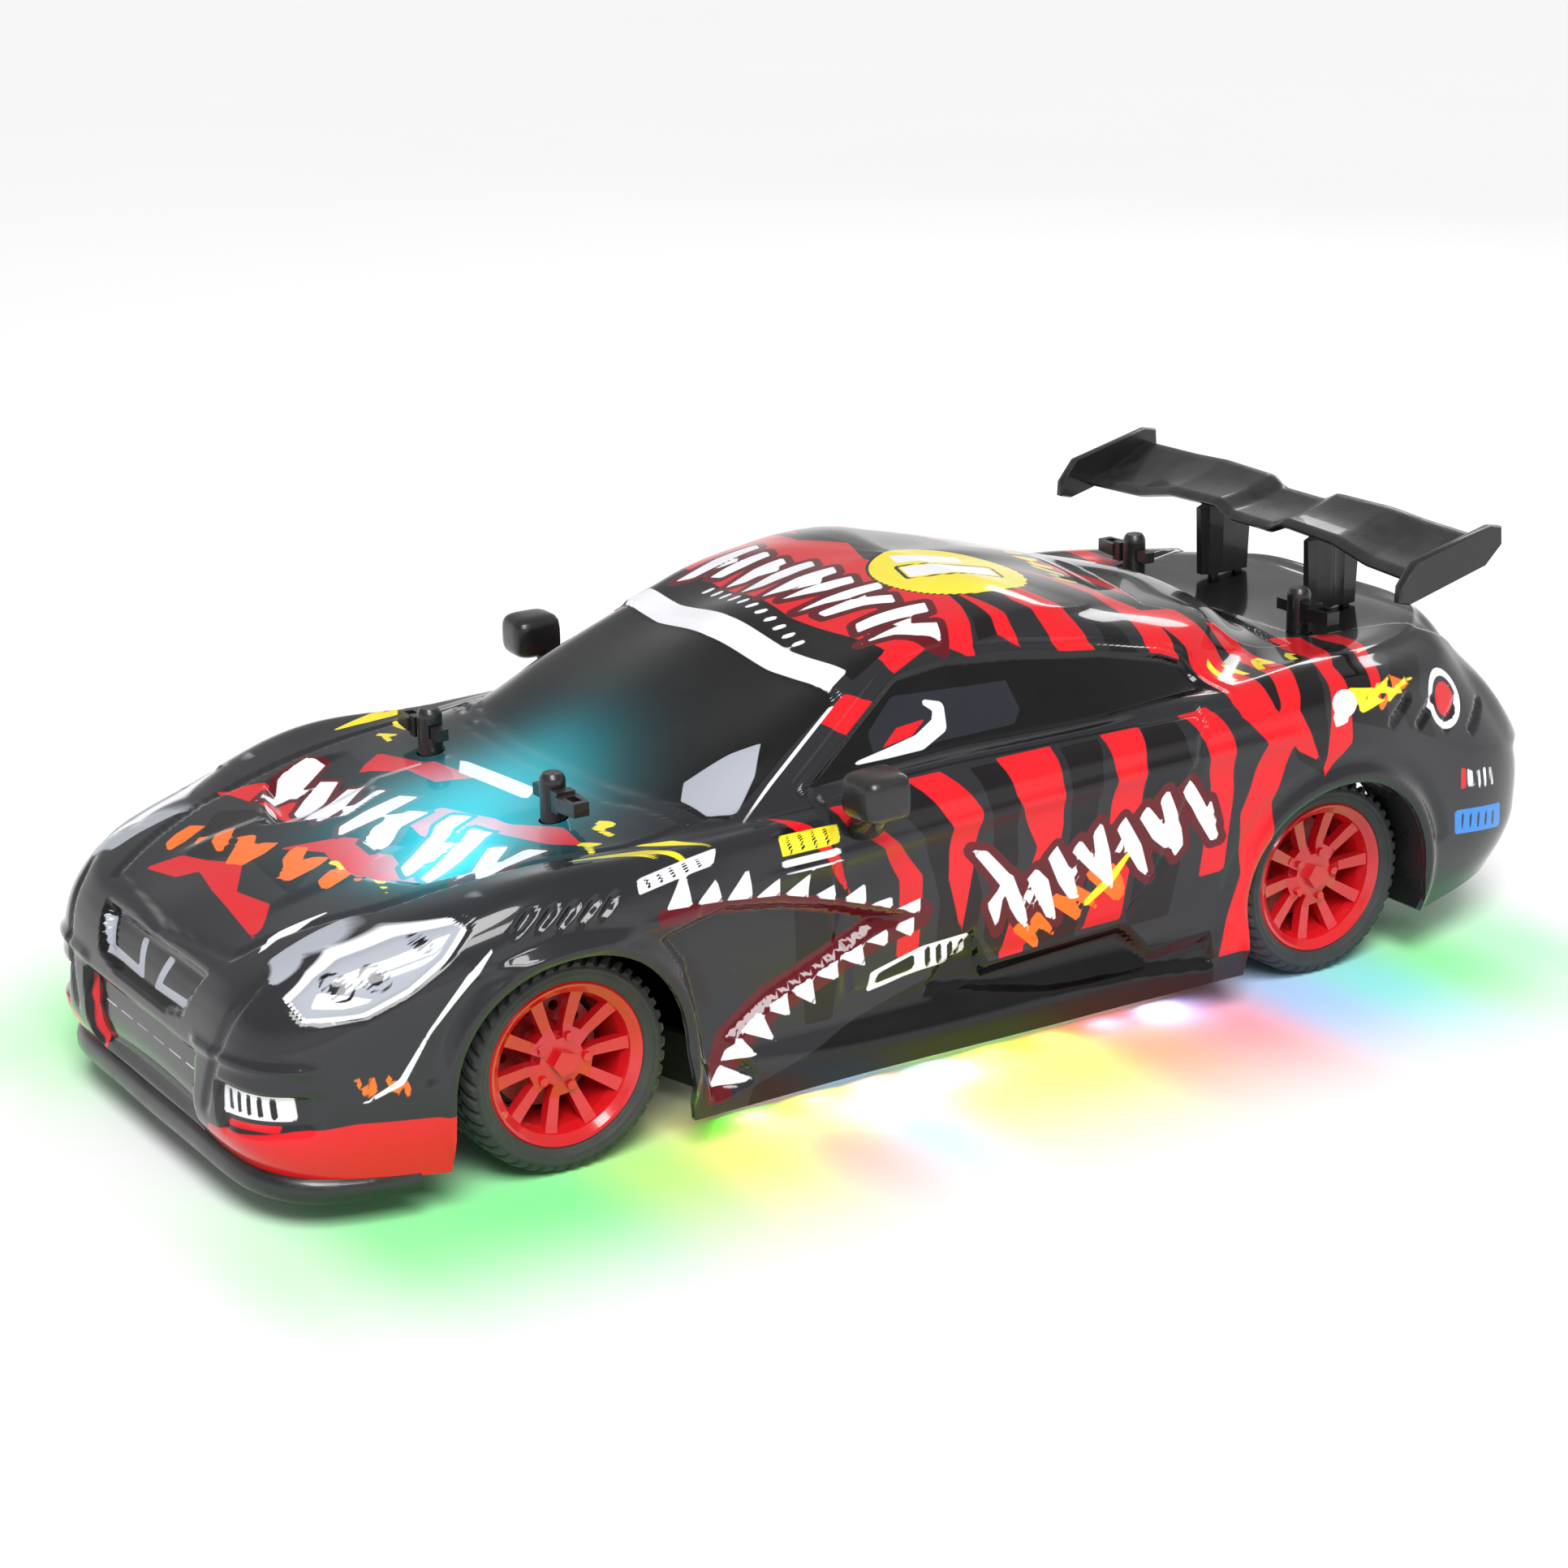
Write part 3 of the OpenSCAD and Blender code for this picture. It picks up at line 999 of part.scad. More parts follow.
// ---------------------------------------------------------------- electrics
board_holes = [6, 50];
board_y = -30.5;        // middle of the circuit board
board_hole_y = 12;
board_z = floor_top + 5;
module circuit_board() {
    color([0.05, 0.3, 0.15]) union() {
        difference() {
            translate([2, board_y - 15, board_z]) cube([52, 30, 1.6]);
            for (x = board_holes) for (s = [-1, 1]) translate([x, board_y + s * board_hole_y, 0])
                cylinder(r = screw_r, h = 40);
        }
        translate([12, board_y - 10, board_z + 1.5]) cube([10, 8, 1.6]);
        translate([28, board_y - 10, board_z + 1.5]) cube([14, 14, 1.8]);
        for (k = [0:2]) translate([15 + 9 * k, board_y + 10, board_z + 1.5]) cylinder(r = 3, h = 7.5);
        translate([47, board_y - 8, board_z + 1.5]) cube([5, 12, 6]);
        for (k = [0:3]) translate([10 + 4 * k, board_y + 2, board_z + 1.5]) cube([2.4, 1.6, 1]);
    }
}
lead_r = 0.9;
lead_drop = axle_z - board_z - 1.6;
lead_bend = 0.63 * lead_drop;
module lead_arc() { rotate_extrude(angle = 90) translate([lead_bend, 0]) circle(r = lead_r, $fn = 20); }
// from a motor tag forward, round a bend, and down to the board
module motor_lead(y, x_end) {
    tag_x = motor_x + motor_l + 7;
    along_x(tag_x, y, axle_z) cylinder(r = lead_r, h = x_end - lead_bend - tag_x, $fn = 20);
    translate([x_end - lead_bend, y, axle_z - lead_bend]) rotate([90, 0, 0]) lead_arc();
    translate([x_end, y, board_z + 1.6]) cylinder(r = lead_r, h = lead_drop - lead_bend, $fn = 20);
}
module motor_leads() {
    color([0.6, 0.05, 0.05]) {
        motor_lead(motor_y - 8, 6);
        motor_lead(motor_y - 4, 10);
    }
}
module switch_housing() {
    color([0.75, 0.75, 0.77]) difference() {
        translate([switch_x - 9, switch_y - 4, floor_top]) cube([18, 8, 6]);
        translate([switch_x - 6, switch_y - 2, floor_top - 1]) cube([12, 4, 3.6]);
    }
}
module switch_knob() {
    color([0.1, 0.1, 0.1]) union() {
        translate([switch_x - 3.7, switch_y - 1.7, ride_height - 0.6]) cube([4, 3.4, floor_t + 2.8]);
        for (k = [0:2]) translate([switch_x - 3.4 + 1.3 * k, switch_y - 1.7, ride_height - 1])
            cube([0.7, 3.4, 0.6]);
    }
}
module led_strip(side) {
    color([0.85, 0.9, 0.9]) union() {
        translate([-61.8, side * strip_y - 2.8, ride_height - 1]) cube([119.6, 5.6, 1.8]);
        for (k = [0:7]) translate([-52 + 14.3 * k, side * strip_y, ride_height - 1.6])
            cylinder(r = 2, h = 1.2, $fn = 24);
    }
}
module led_strip_left() { led_strip(1); }
module led_strip_right() { led_strip(-1); }
module hood_led() {
    color([0.8, 0.95, 1]) union() {
        translate([front_x + 3, -7, bridge_z + bridge_h + 2.6]) cube([6, 14, 1.6]);
        for (s = [-1, 0, 1]) translate([front_x + 6, s * 4.5, bridge_z + bridge_h + 4])
            cylinder(r = 1.6, h = 1.6);
    }
}
module screw(x, y, z, l) {
    translate([x, y, z]) cylinder(r = 2.3, h = 1.3);
    translate([x, y, z - l]) cylinder(r = screw_r - 0.3, h = l + 0.1);
}
module chassis_screws() {
    color([0.55, 0.56, 0.58]) {
        for (s = [-1, 1]) {
            for (x = [-7, 8]) screw(front_x + x, s * 9, top_arm_z + top_arm_t, 9);
            for (x = board_holes) screw(x, board_y + s * board_hole_y, board_z + 1.6, 5);
            for (x = servo_holes) screw(x, s * 5, servo_z + 7.8, 6);
        }
    }
}

body_shell();
front_splitter();
rear_wing();
wing_strut_left();
wing_strut_right();
mirror_left();
mirror_right();
front_post_bridge();
rear_post_bridge();
clip_front_left();
clip_front_right();
clip_rear_left();
clip_rear_right();
chassis_tub();
battery_cover();
battery_pack();
front_gear_cover();
rear_gear_cover();
drive_motor();
motor_pinion();
spur_gear();
centre_shaft();
front_bevel_pinion();
rear_bevel_pinion();
front_crown_gear();
rear_crown_gear();
rear_axle();
front_axle();
dogbone_left();
dogbone_right();
shaft_bushes();
knuckle_left();
knuckle_right();
stub_axle_left();
stub_axle_right();
kingpins();
top_arm_plate();
steering_rack();
servo_horn();
steering_servo();
circuit_board();
switch_housing();
switch_knob();
led_strip_left();
led_strip_right();
hood_led();
rim_front_left();
rim_front_right();
rim_rear_left();
rim_rear_right();
tyre_front_left();
tyre_front_right();
tyre_rear_left();
tyre_rear_right();
disc_front_left();
disc_front_right();
disc_rear_left();
disc_rear_right();
chassis_screws();
motor_leads();
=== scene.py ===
import json
import math

import bpy
import numpy as np
from mathutils import Matrix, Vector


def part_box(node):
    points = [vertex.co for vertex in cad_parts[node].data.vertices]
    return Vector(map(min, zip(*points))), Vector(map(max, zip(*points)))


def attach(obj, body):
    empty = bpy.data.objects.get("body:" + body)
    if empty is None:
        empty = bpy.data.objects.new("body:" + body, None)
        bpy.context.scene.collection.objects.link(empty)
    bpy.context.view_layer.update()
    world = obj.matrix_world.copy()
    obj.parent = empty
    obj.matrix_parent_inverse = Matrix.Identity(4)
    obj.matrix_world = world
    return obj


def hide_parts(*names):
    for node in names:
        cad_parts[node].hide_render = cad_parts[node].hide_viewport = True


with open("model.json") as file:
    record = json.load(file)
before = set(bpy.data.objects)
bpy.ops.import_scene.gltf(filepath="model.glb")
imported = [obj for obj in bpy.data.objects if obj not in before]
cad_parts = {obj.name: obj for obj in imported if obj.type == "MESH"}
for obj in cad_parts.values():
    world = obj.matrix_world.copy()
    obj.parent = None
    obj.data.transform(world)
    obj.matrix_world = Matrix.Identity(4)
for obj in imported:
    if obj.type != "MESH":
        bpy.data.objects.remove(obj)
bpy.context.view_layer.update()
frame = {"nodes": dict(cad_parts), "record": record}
nodes = frame["nodes"]
mm = 0.001
far = 9.0  # a distance, in mm, that counts as outside every painted shape
print("frame loaded:", len(nodes), "parts")


def boxCentre(node):
    low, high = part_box(node)
    return [(a + b) / 2 / mm for a, b in zip(low, high)]


frontAxle = boxCentre("rim_front_left")[0]
rearAxle = boxCentre("rim_rear_left")[0]


# ---- meshes ----
def putMesh(name, points, polygons, smooth=True):
    # points in mm, polygons as a list of index arrays with one width each
    mesh = bpy.data.meshes.new(name)
    polygons = [np.asarray(p, np.int64) for p in polygons if len(p)]
    corners = np.concatenate([p.ravel() for p in polygons])
    sizes = np.concatenate([np.full(len(p), p.shape[1]) for p in polygons])
    starts = np.concatenate([[0], np.cumsum(sizes)[:-1]])
    mesh.vertices.add(len(points))
    mesh.vertices.foreach_set("co", (np.asarray(points, float) * mm).ravel())
    mesh.loops.add(len(corners))
    mesh.loops.foreach_set("vertex_index", corners.astype(np.int32))
    mesh.polygons.add(len(sizes))
    mesh.polygons.foreach_set("loop_start", starts.astype(np.int32))
    mesh.update(calc_edges=True)
    mesh.polygons.foreach_set("use_smooth", np.full(len(sizes), smooth))
    mesh.update()
    piece = bpy.data.objects.new(name, mesh)
    bpy.context.scene.collection.objects.link(piece)
    return piece


def gridQuads(rows, columns, closed=True):
    # quads between neighbouring rows and columns, the last column joined to the first when closed
    i, j = np.meshgrid(np.arange(rows - 1), np.arange(columns if closed else columns - 1), indexing="ij")
    k = (j + 1) % columns
    return np.stack([i * columns + j, i * columns + k, (i + 1) * columns + k, (i + 1) * columns + j],
                    -1).reshape(-1, 4)


def curveAt(keys, values, at, flatEnds=False):
    # cubic through the values with the parabola's slope at each key, level at both ends if asked
    keys = np.asarray(keys, float)
    values = np.asarray(values, float)
    slopes = np.gradient(values, keys, axis=0)
    if flatEnds:
        slopes[0] = 0
        slopes[-1] = 0
    i = np.clip(np.searchsorted(keys, at, side="right") - 1, 0, len(keys) - 2)
    width = keys[i + 1] - keys[i]
    t = (at - keys[i]) / width
    if values.ndim > 1:
        t, width = t[:, None], width[:, None]
    return ((2 * t**3 - 3 * t**2 + 1) * values[i] + (t**3 - 2 * t**2 + t) * width * slopes[i]
            + (3 * t**2 - 2 * t**3) * values[i + 1] + (t**3 - t**2) * width * slopes[i + 1])


def ramp(value, low, high):
    # 0 at low, 1 at high, eased between
    t = np.clip((value - low) / (high - low), 0, 1)
    return t * t * (3 - 2 * t)


# ---- the moulded shell ----
shell = {
    "length": 334.0, "drawnLength": 333.5, "wall": 1.2, "flareOut": 2.2, "flareUp": 3.2,
    "rows": 200, "columns": 900,
    "stations": [0, 38, 60, 80, 100, 121, 142, 180],
    # front x, rear x, centre x, squareness front and rear, half widths, heights
    "rings": [
        [163, -162, 0, 8, 9, 61, 61, 64.5, 64, 64.5, 66, 62, 62, 13, 12.2, 8, 8, 8, 10, 19, 21],
        [166, -165.5, 0, 8, 9, 62, 62, 65.5, 64, 64.5, 67, 64, 64, 20, 18, 18, 15, 15, 18, 25, 26],
        [166.5, -167, 0, 8, 9, 62, 62, 65.5, 60.5, 61, 67, 65, 65, 26, 26, 27, 21, 22, 28, 31, 31],
        [165, -166, 0, 8, 9, 61.5, 61.5, 65.5, 62, 62.5, 67, 65, 65, 38, 39, 42, 40, 40, 46, 44, 42],
        [162, -159.5, 0, 7.5, 8, 60, 60, 65.5, 62.5, 63.5, 67, 62, 62, 45.5, 47, 53.5, 53, 55, 58, 57, 55],
        [156, -154, 0, 7, 7, 58, 58, 63, 62, 63, 65.5, 59, 59, 52.5, 53, 60.5, 61.5, 64, 67.5, 66.5, 65.5],
        [141, -154, -5, 6, 4.5, 55.5, 55.5, 61, 60.5, 61.5, 63, 56, 56, 57, 58.5, 64.5, 65.5, 68, 72,
         73.5, 73.5],
        [112, -147, -15, 6, 4.5, 50, 50, 57.5, 58.7, 59, 58.5, 51, 51, 62, 62.5, 66, 68, 70.5, 75, 76,
         75.3],
        [73, -109, -25, 6, 4.5, 56, 56, 56, 57, 56.5, 50, 42, 42, 67.5, 67.5, 69, 71, 73.5, 75.6, 75.2,
         75.4],
        [50, -92, -25, 7, 4.5, 51.5, 51.5, 51, 52, 51, 46, 38, 38, 80, 78, 79, 81, 83.5, 84.5, 84.5, 86],
        [24, -66, -24, 8, 4.5, 45.5, 45.5, 45, 45.5, 45, 41, 35, 35, 92, 88.5, 91, 93.5, 94, 91.5, 91, 92],
        [15, -58, -24, 6, 4.5, 41.5, 41.5, 41.5, 42, 41.5, 38, 32, 32, 95, 92.5, 95.5, 97.3, 97, 94.5,
         93.5, 94.8],
        [0, -42, -22, 5, 4, 26, 26, 27, 28, 28, 26, 21, 21, 99, 98.5, 99.3, 100, 100, 98.6, 97.8, 98.4],
        [-18, -22, -20, 4, 4, 2, 2, 2, 2, 2, 2, 2, 2, 101, 101, 101, 101, 101, 101, 101, 101]],
    "flareOutByRing": [1, 1, 1, 1, 1, 0.9, 0.35, 0, 0, 0, 0, 0, 0, 0],
    "flareUpByRing": [0, 0, 0, 0, 0.6, 1, 1, 0.5, 0, 0, 0, 0, 0, 0],
    "frontFlareAhead": 3, "frontFlareHalf": 36, "rearFlareHalf": 38,
    "frontArch": (2.2, 26.5), "rearArch": (2.6,
                                           26.0), "archHeight": 24.0, "archInner": 31.5, "archReturn": 17.0,
    "postHole": 3.2, "frontPost": (83.1, 28.1), "rearPost": (-114.3, 31.3),
}
ringCount = len(shell["rings"])


def shellPoints(rings, turns):
    # a ring's plan is a superellipse; widths and heights run through the stations round the half turn
    half = np.where(turns > 180, 360 - turns, turns)
    keys = np.arange(ringCount)
    rows = curveAt(keys, shell["rings"], rings)
    outShare = curveAt(keys, shell["flareOutByRing"], rings)[:, None]
    upShare = curveAt(keys, shell["flareUpByRing"], rings)[:, None]
    width = curveAt(shell["stations"], rows[:, 5:13].T, half, True).T
    height = curveAt(shell["stations"], rows[:, 13:21].T, half, True).T
    c, s = np.cos(np.radians(half)), np.abs(np.sin(np.radians(half)))
    front, rear, centre, squareFront, squareRear = (rows[:, k:k + 1] for k in range(5))
    n = np.where(c > 0, squareFront, squareRear)
    d = (np.abs(c)**n + s**n)**(1 / n)
    x = centre + np.where(c > 0, front - centre, centre - rear) * c / d
    flare = np.zeros_like(x)
    for at, reach in ((frontAxle + shell["frontFlareAhead"], shell["frontFlareHalf"]),
                      (rearAxle, shell["rearFlareHalf"])):
        away = np.clip(np.abs(x - at) / reach, 0, 1)
        flare = np.maximum(flare, np.cos(np.pi / 2 * away)**2)
    y = (width + shell["flareOut"] * outShare * flare) * s / d
    z = height + shell["flareUp"] * upShare * flare * (s / d)**4
    return np.stack([x * shell["length"] / shell["drawnLength"], np.where(turns > 180, -y, y), z], -1)


def gridNormals(points):
    # the cross product of the steps round the ring and up the rings
    around = np.roll(points, -1, 1) - np.roll(points, 1, 1)
    normal = np.cross(around, np.gradient(points, axis=0))
    return normal / np.maximum(np.linalg.norm(normal, axis=2, keepdims=True), 1e-9)


def evenTurns(count):
    # turn angles that step evenly along the widest ring
    fine = np.linspace(0, 360, 7201)
    ring = shellPoints(np.array([4.0]), fine)[0]
    run = np.concatenate([[0], np.cumsum(np.linalg.norm(np.diff(ring[:, :2], axis=0), axis=1))])
    return np.interp(np.linspace(0, run[-1], count, endpoint=False), run, fine)


def evenRings(count):
    # ring values that step evenly up the surface, averaged round the car
    fine = np.linspace(0, ringCount - 1, 1301)
    points = shellPoints(fine, np.linspace(0, 180, 61))
    run = np.concatenate([[0], np.cumsum(np.linalg.norm(np.diff(points, axis=0), axis=2).mean(1))])
    return np.interp(np.linspace(0, run[-1], count), run, fine)


# ---- drawn shapes as distances, negative inside ----
def polygon(*corners):
    # distance to the nearest side, its sign from counting crossings
    corners = np.array(corners, float)

    def distance(u, v):
        out = np.full(u.shape, far)
        low, high = corners.min(0) - 3, corners.max(0) + 3
        near = (u > low[0]) & (u < high[0]) & (v > low[1]) & (v < high[1])
        p, q = u[near], v[near]
        best = np.full(p.shape, far**2)
        inside = np.zeros(p.shape, bool)
        for (ax, ay), (bx, by) in zip(corners, np.roll(corners, -1, 0)):
            ex, ey = bx - ax, by - ay
            t = np.clip(((p - ax) * ex + (q - ay) * ey) / (ex * ex + ey * ey), 0, 1)
            best = np.minimum(best, (p - ax - t * ex)**2 + (q - ay - t * ey)**2)
            crosses = (ay > q) != (by > q)
            inside ^= crosses & (p < ax + (q - ay) / (ey if ey else 1e-9) * ex)
        out[near] = np.where(inside, -1, 1) * np.sqrt(best)
        return out
    return distance


def stroke(*path):
    # path of (u, v, half width); the distance to the nearest tapered segment
    path = np.array(path, float)

    def distance(u, v):
        out = np.full(u.shape, far)
        low, high = path[:, :2].min(0) - 4, path[:, :2].max(0) + 4
        near = (u > low[0]) & (u < high[0]) & (v > low[1]) & (v < high[1])
        p, q = u[near], v[near]
        best = np.full(p.shape, far)
        for (ax, ay, aw), (bx, by, bw) in zip(path, path[1:]):
            ex, ey = bx - ax, by - ay
            t = np.clip(((p - ax) * ex + (q - ay) * ey) / (ex * ex + ey * ey), 0, 1)
            best = np.minimum(best, np.hypot(p - ax - t * ex, q - ay - t * ey) - aw - (bw - aw) * t)
        out[near] = best
        return out
    return distance


def disc(u0, v0, radiusU, radiusV=None, hole=0.0):
    # an ellipse scaled to a circle, with a round hole when asked
    radiusV = radiusV or radiusU

    def distance(u, v):
        away = np.hypot((u - u0) / radiusU, (v - v0) / radiusV)
        out = (away - 1) * min(radiusU, radiusV)
        return np.maximum(out, (hole - away) * min(radiusU, radiusV)) if hole else out
    return distance


def grown(shape, by):
    return lambda u, v: shape(u, v) - by


def outlined(shape, half):
    return lambda u, v: np.abs(shape(u, v)) - half


def shards(start, end, height, count, seed, lean=0.3, fill=0.62):
    # a row of jagged slanted blades along a line
    rng = np.random.default_rng(seed)
    start, end = np.array(start, float), np.array(end, float)
    along = (end - start) / count
    up = np.array([-along[1], along[0]]) / np.hypot(*along) * height
    side = along * fill
    out = []
    for k in range(count):
        foot = start + along * (k + 0.2)
        a, b, c, d = rng.uniform(-0.16, 0.2, 4)
        tilt = along * lean * rng.uniform(-1.2, 1.6)
        out.append(polygon(foot + up * a, foot + side * 0.55 + up * (a - 0.12),
                           foot + side + tilt + up * (0.5 + b),
                           foot + side * 1.1 + tilt * 1.6 + up * (1 + c),
                           foot + side * 0.6 + tilt * 1.8 + up * (0.86 + d),
                           foot + side * 0.25 + tilt + up * 0.5))
        if k % 2 == 0:
            out.append(polygon(foot + side * 0.9 + up * 0.42, foot + along * 1.15 + up * (0.62 + b),
                               foot + along * 1.05 + up * 0.28))
    return out


def teeth(path, length, count, lean=0.0):
    # pointed teeth standing on a path, longer in the middle of their row
    path = np.array(path, float)
    run = np.concatenate([[0], np.cumsum(np.hypot(*np.diff(path, axis=0).T))])
    out = []
    for k in range(count):
        a, b = np.array([k + 0.06, k + 0.94]) / count * run[-1]
        p, q = (np.array([np.interp(t, run, path[:, 0]), np.interp(t, run, path[:, 1])]) for t in (a, b))
        away = np.array([-(q - p)[1], (q - p)[0]]) / np.hypot(*(q - p))
        tall = length * (1 - 0.55 * k / count) * (1.0 if k % 2 == 0 else 0.72)
        out.append(polygon(p - away, q - away, (p + q) / 2 + away * tall + (q - p) * lean))
    return out


def mirrored(axis, *half):
    # an outline that is even across an axis of its view, from the points on the positive side
    points = np.array(half, float)
    back = points[::-1][points[::-1, axis] != 0]
    back[:, axis] *= -1
    return polygon(*points, *back)


def outlines(view, *cornerLists):
    return [(view, polygon(*corners)) for corners in cornerLists]


def strokes(view, *paths):
    return [(view, stroke(*path)) for path in paths]


def paired(view, shape):
    # a shape and its mirror image across the car's middle
    flipU, flipV = (1, -1) if view == "top" else (-1, 1)
    return [(view, shape), (view, lambda u, v: shape(flipU * u, flipV * v))]


windowEdge = [(38, 70.3), (24, 79.5), (10, 88.4), (-3, 90), (-20, 89), (-42, 86), (-60, 82), (-66, 79.5),
              (-70, 73.6), (-40, 73), (0, 73), (20, 71.6)]
upperLip = [(79, 54.5), (63, 53), (50, 51), (38, 47.5), (26, 43.5), (14, 39)]
lowerLip = [(67, 12), (62, 21), (52, 27), (44, 29.5), (37, 32), (26, 36.5), (15, 38.8)]
roofRing = (-24, 17)
platePatch = polygon((-15.5, 11), (-13.5, 18), (-32.5, 24.5), (-34.5, 17.5))
roofDisc = disc(*roofRing, 17.5, 18.5)
bladesRoof = shards((-6, 46), (-2, -36), 14.5, 10, 4, 0.25, 0.84)
bladesDoor = shards((-6, 42.5), (-59, 55.5), 13.5, 9, 7, 0.25, 0.84) + [
    polygon((-6.6, 31.6), (-3.4, 38.4), (-6.8, 42), (1.2, 51.8), (-3, 50.8), (-10.6, 42.6), (-7.4, 39))]
bladesBonnet = shards((107, -46), (95, 47), -17, 10, 2, 0.25, 0.84)
flashDoor = shards((-9, 31.5), (-38, 43), 9, 6, 9, 0.2, 0.8)
flashBonnet = shards((138, -34), (123, 22), -11, 7, 5, 0.2, 0.8)
flashNose = shards((147, 33), (135, 31.5), 4.5, 4, 8)
headlight = polygon((155.3, 48.5), (150, 52.8), (144.5, 55.6), (133, 58.6), (122, 60.4), (120.9, 59.2),
                    (126.3, 54), (134, 49), (143, 45.4), (153.6, 45))

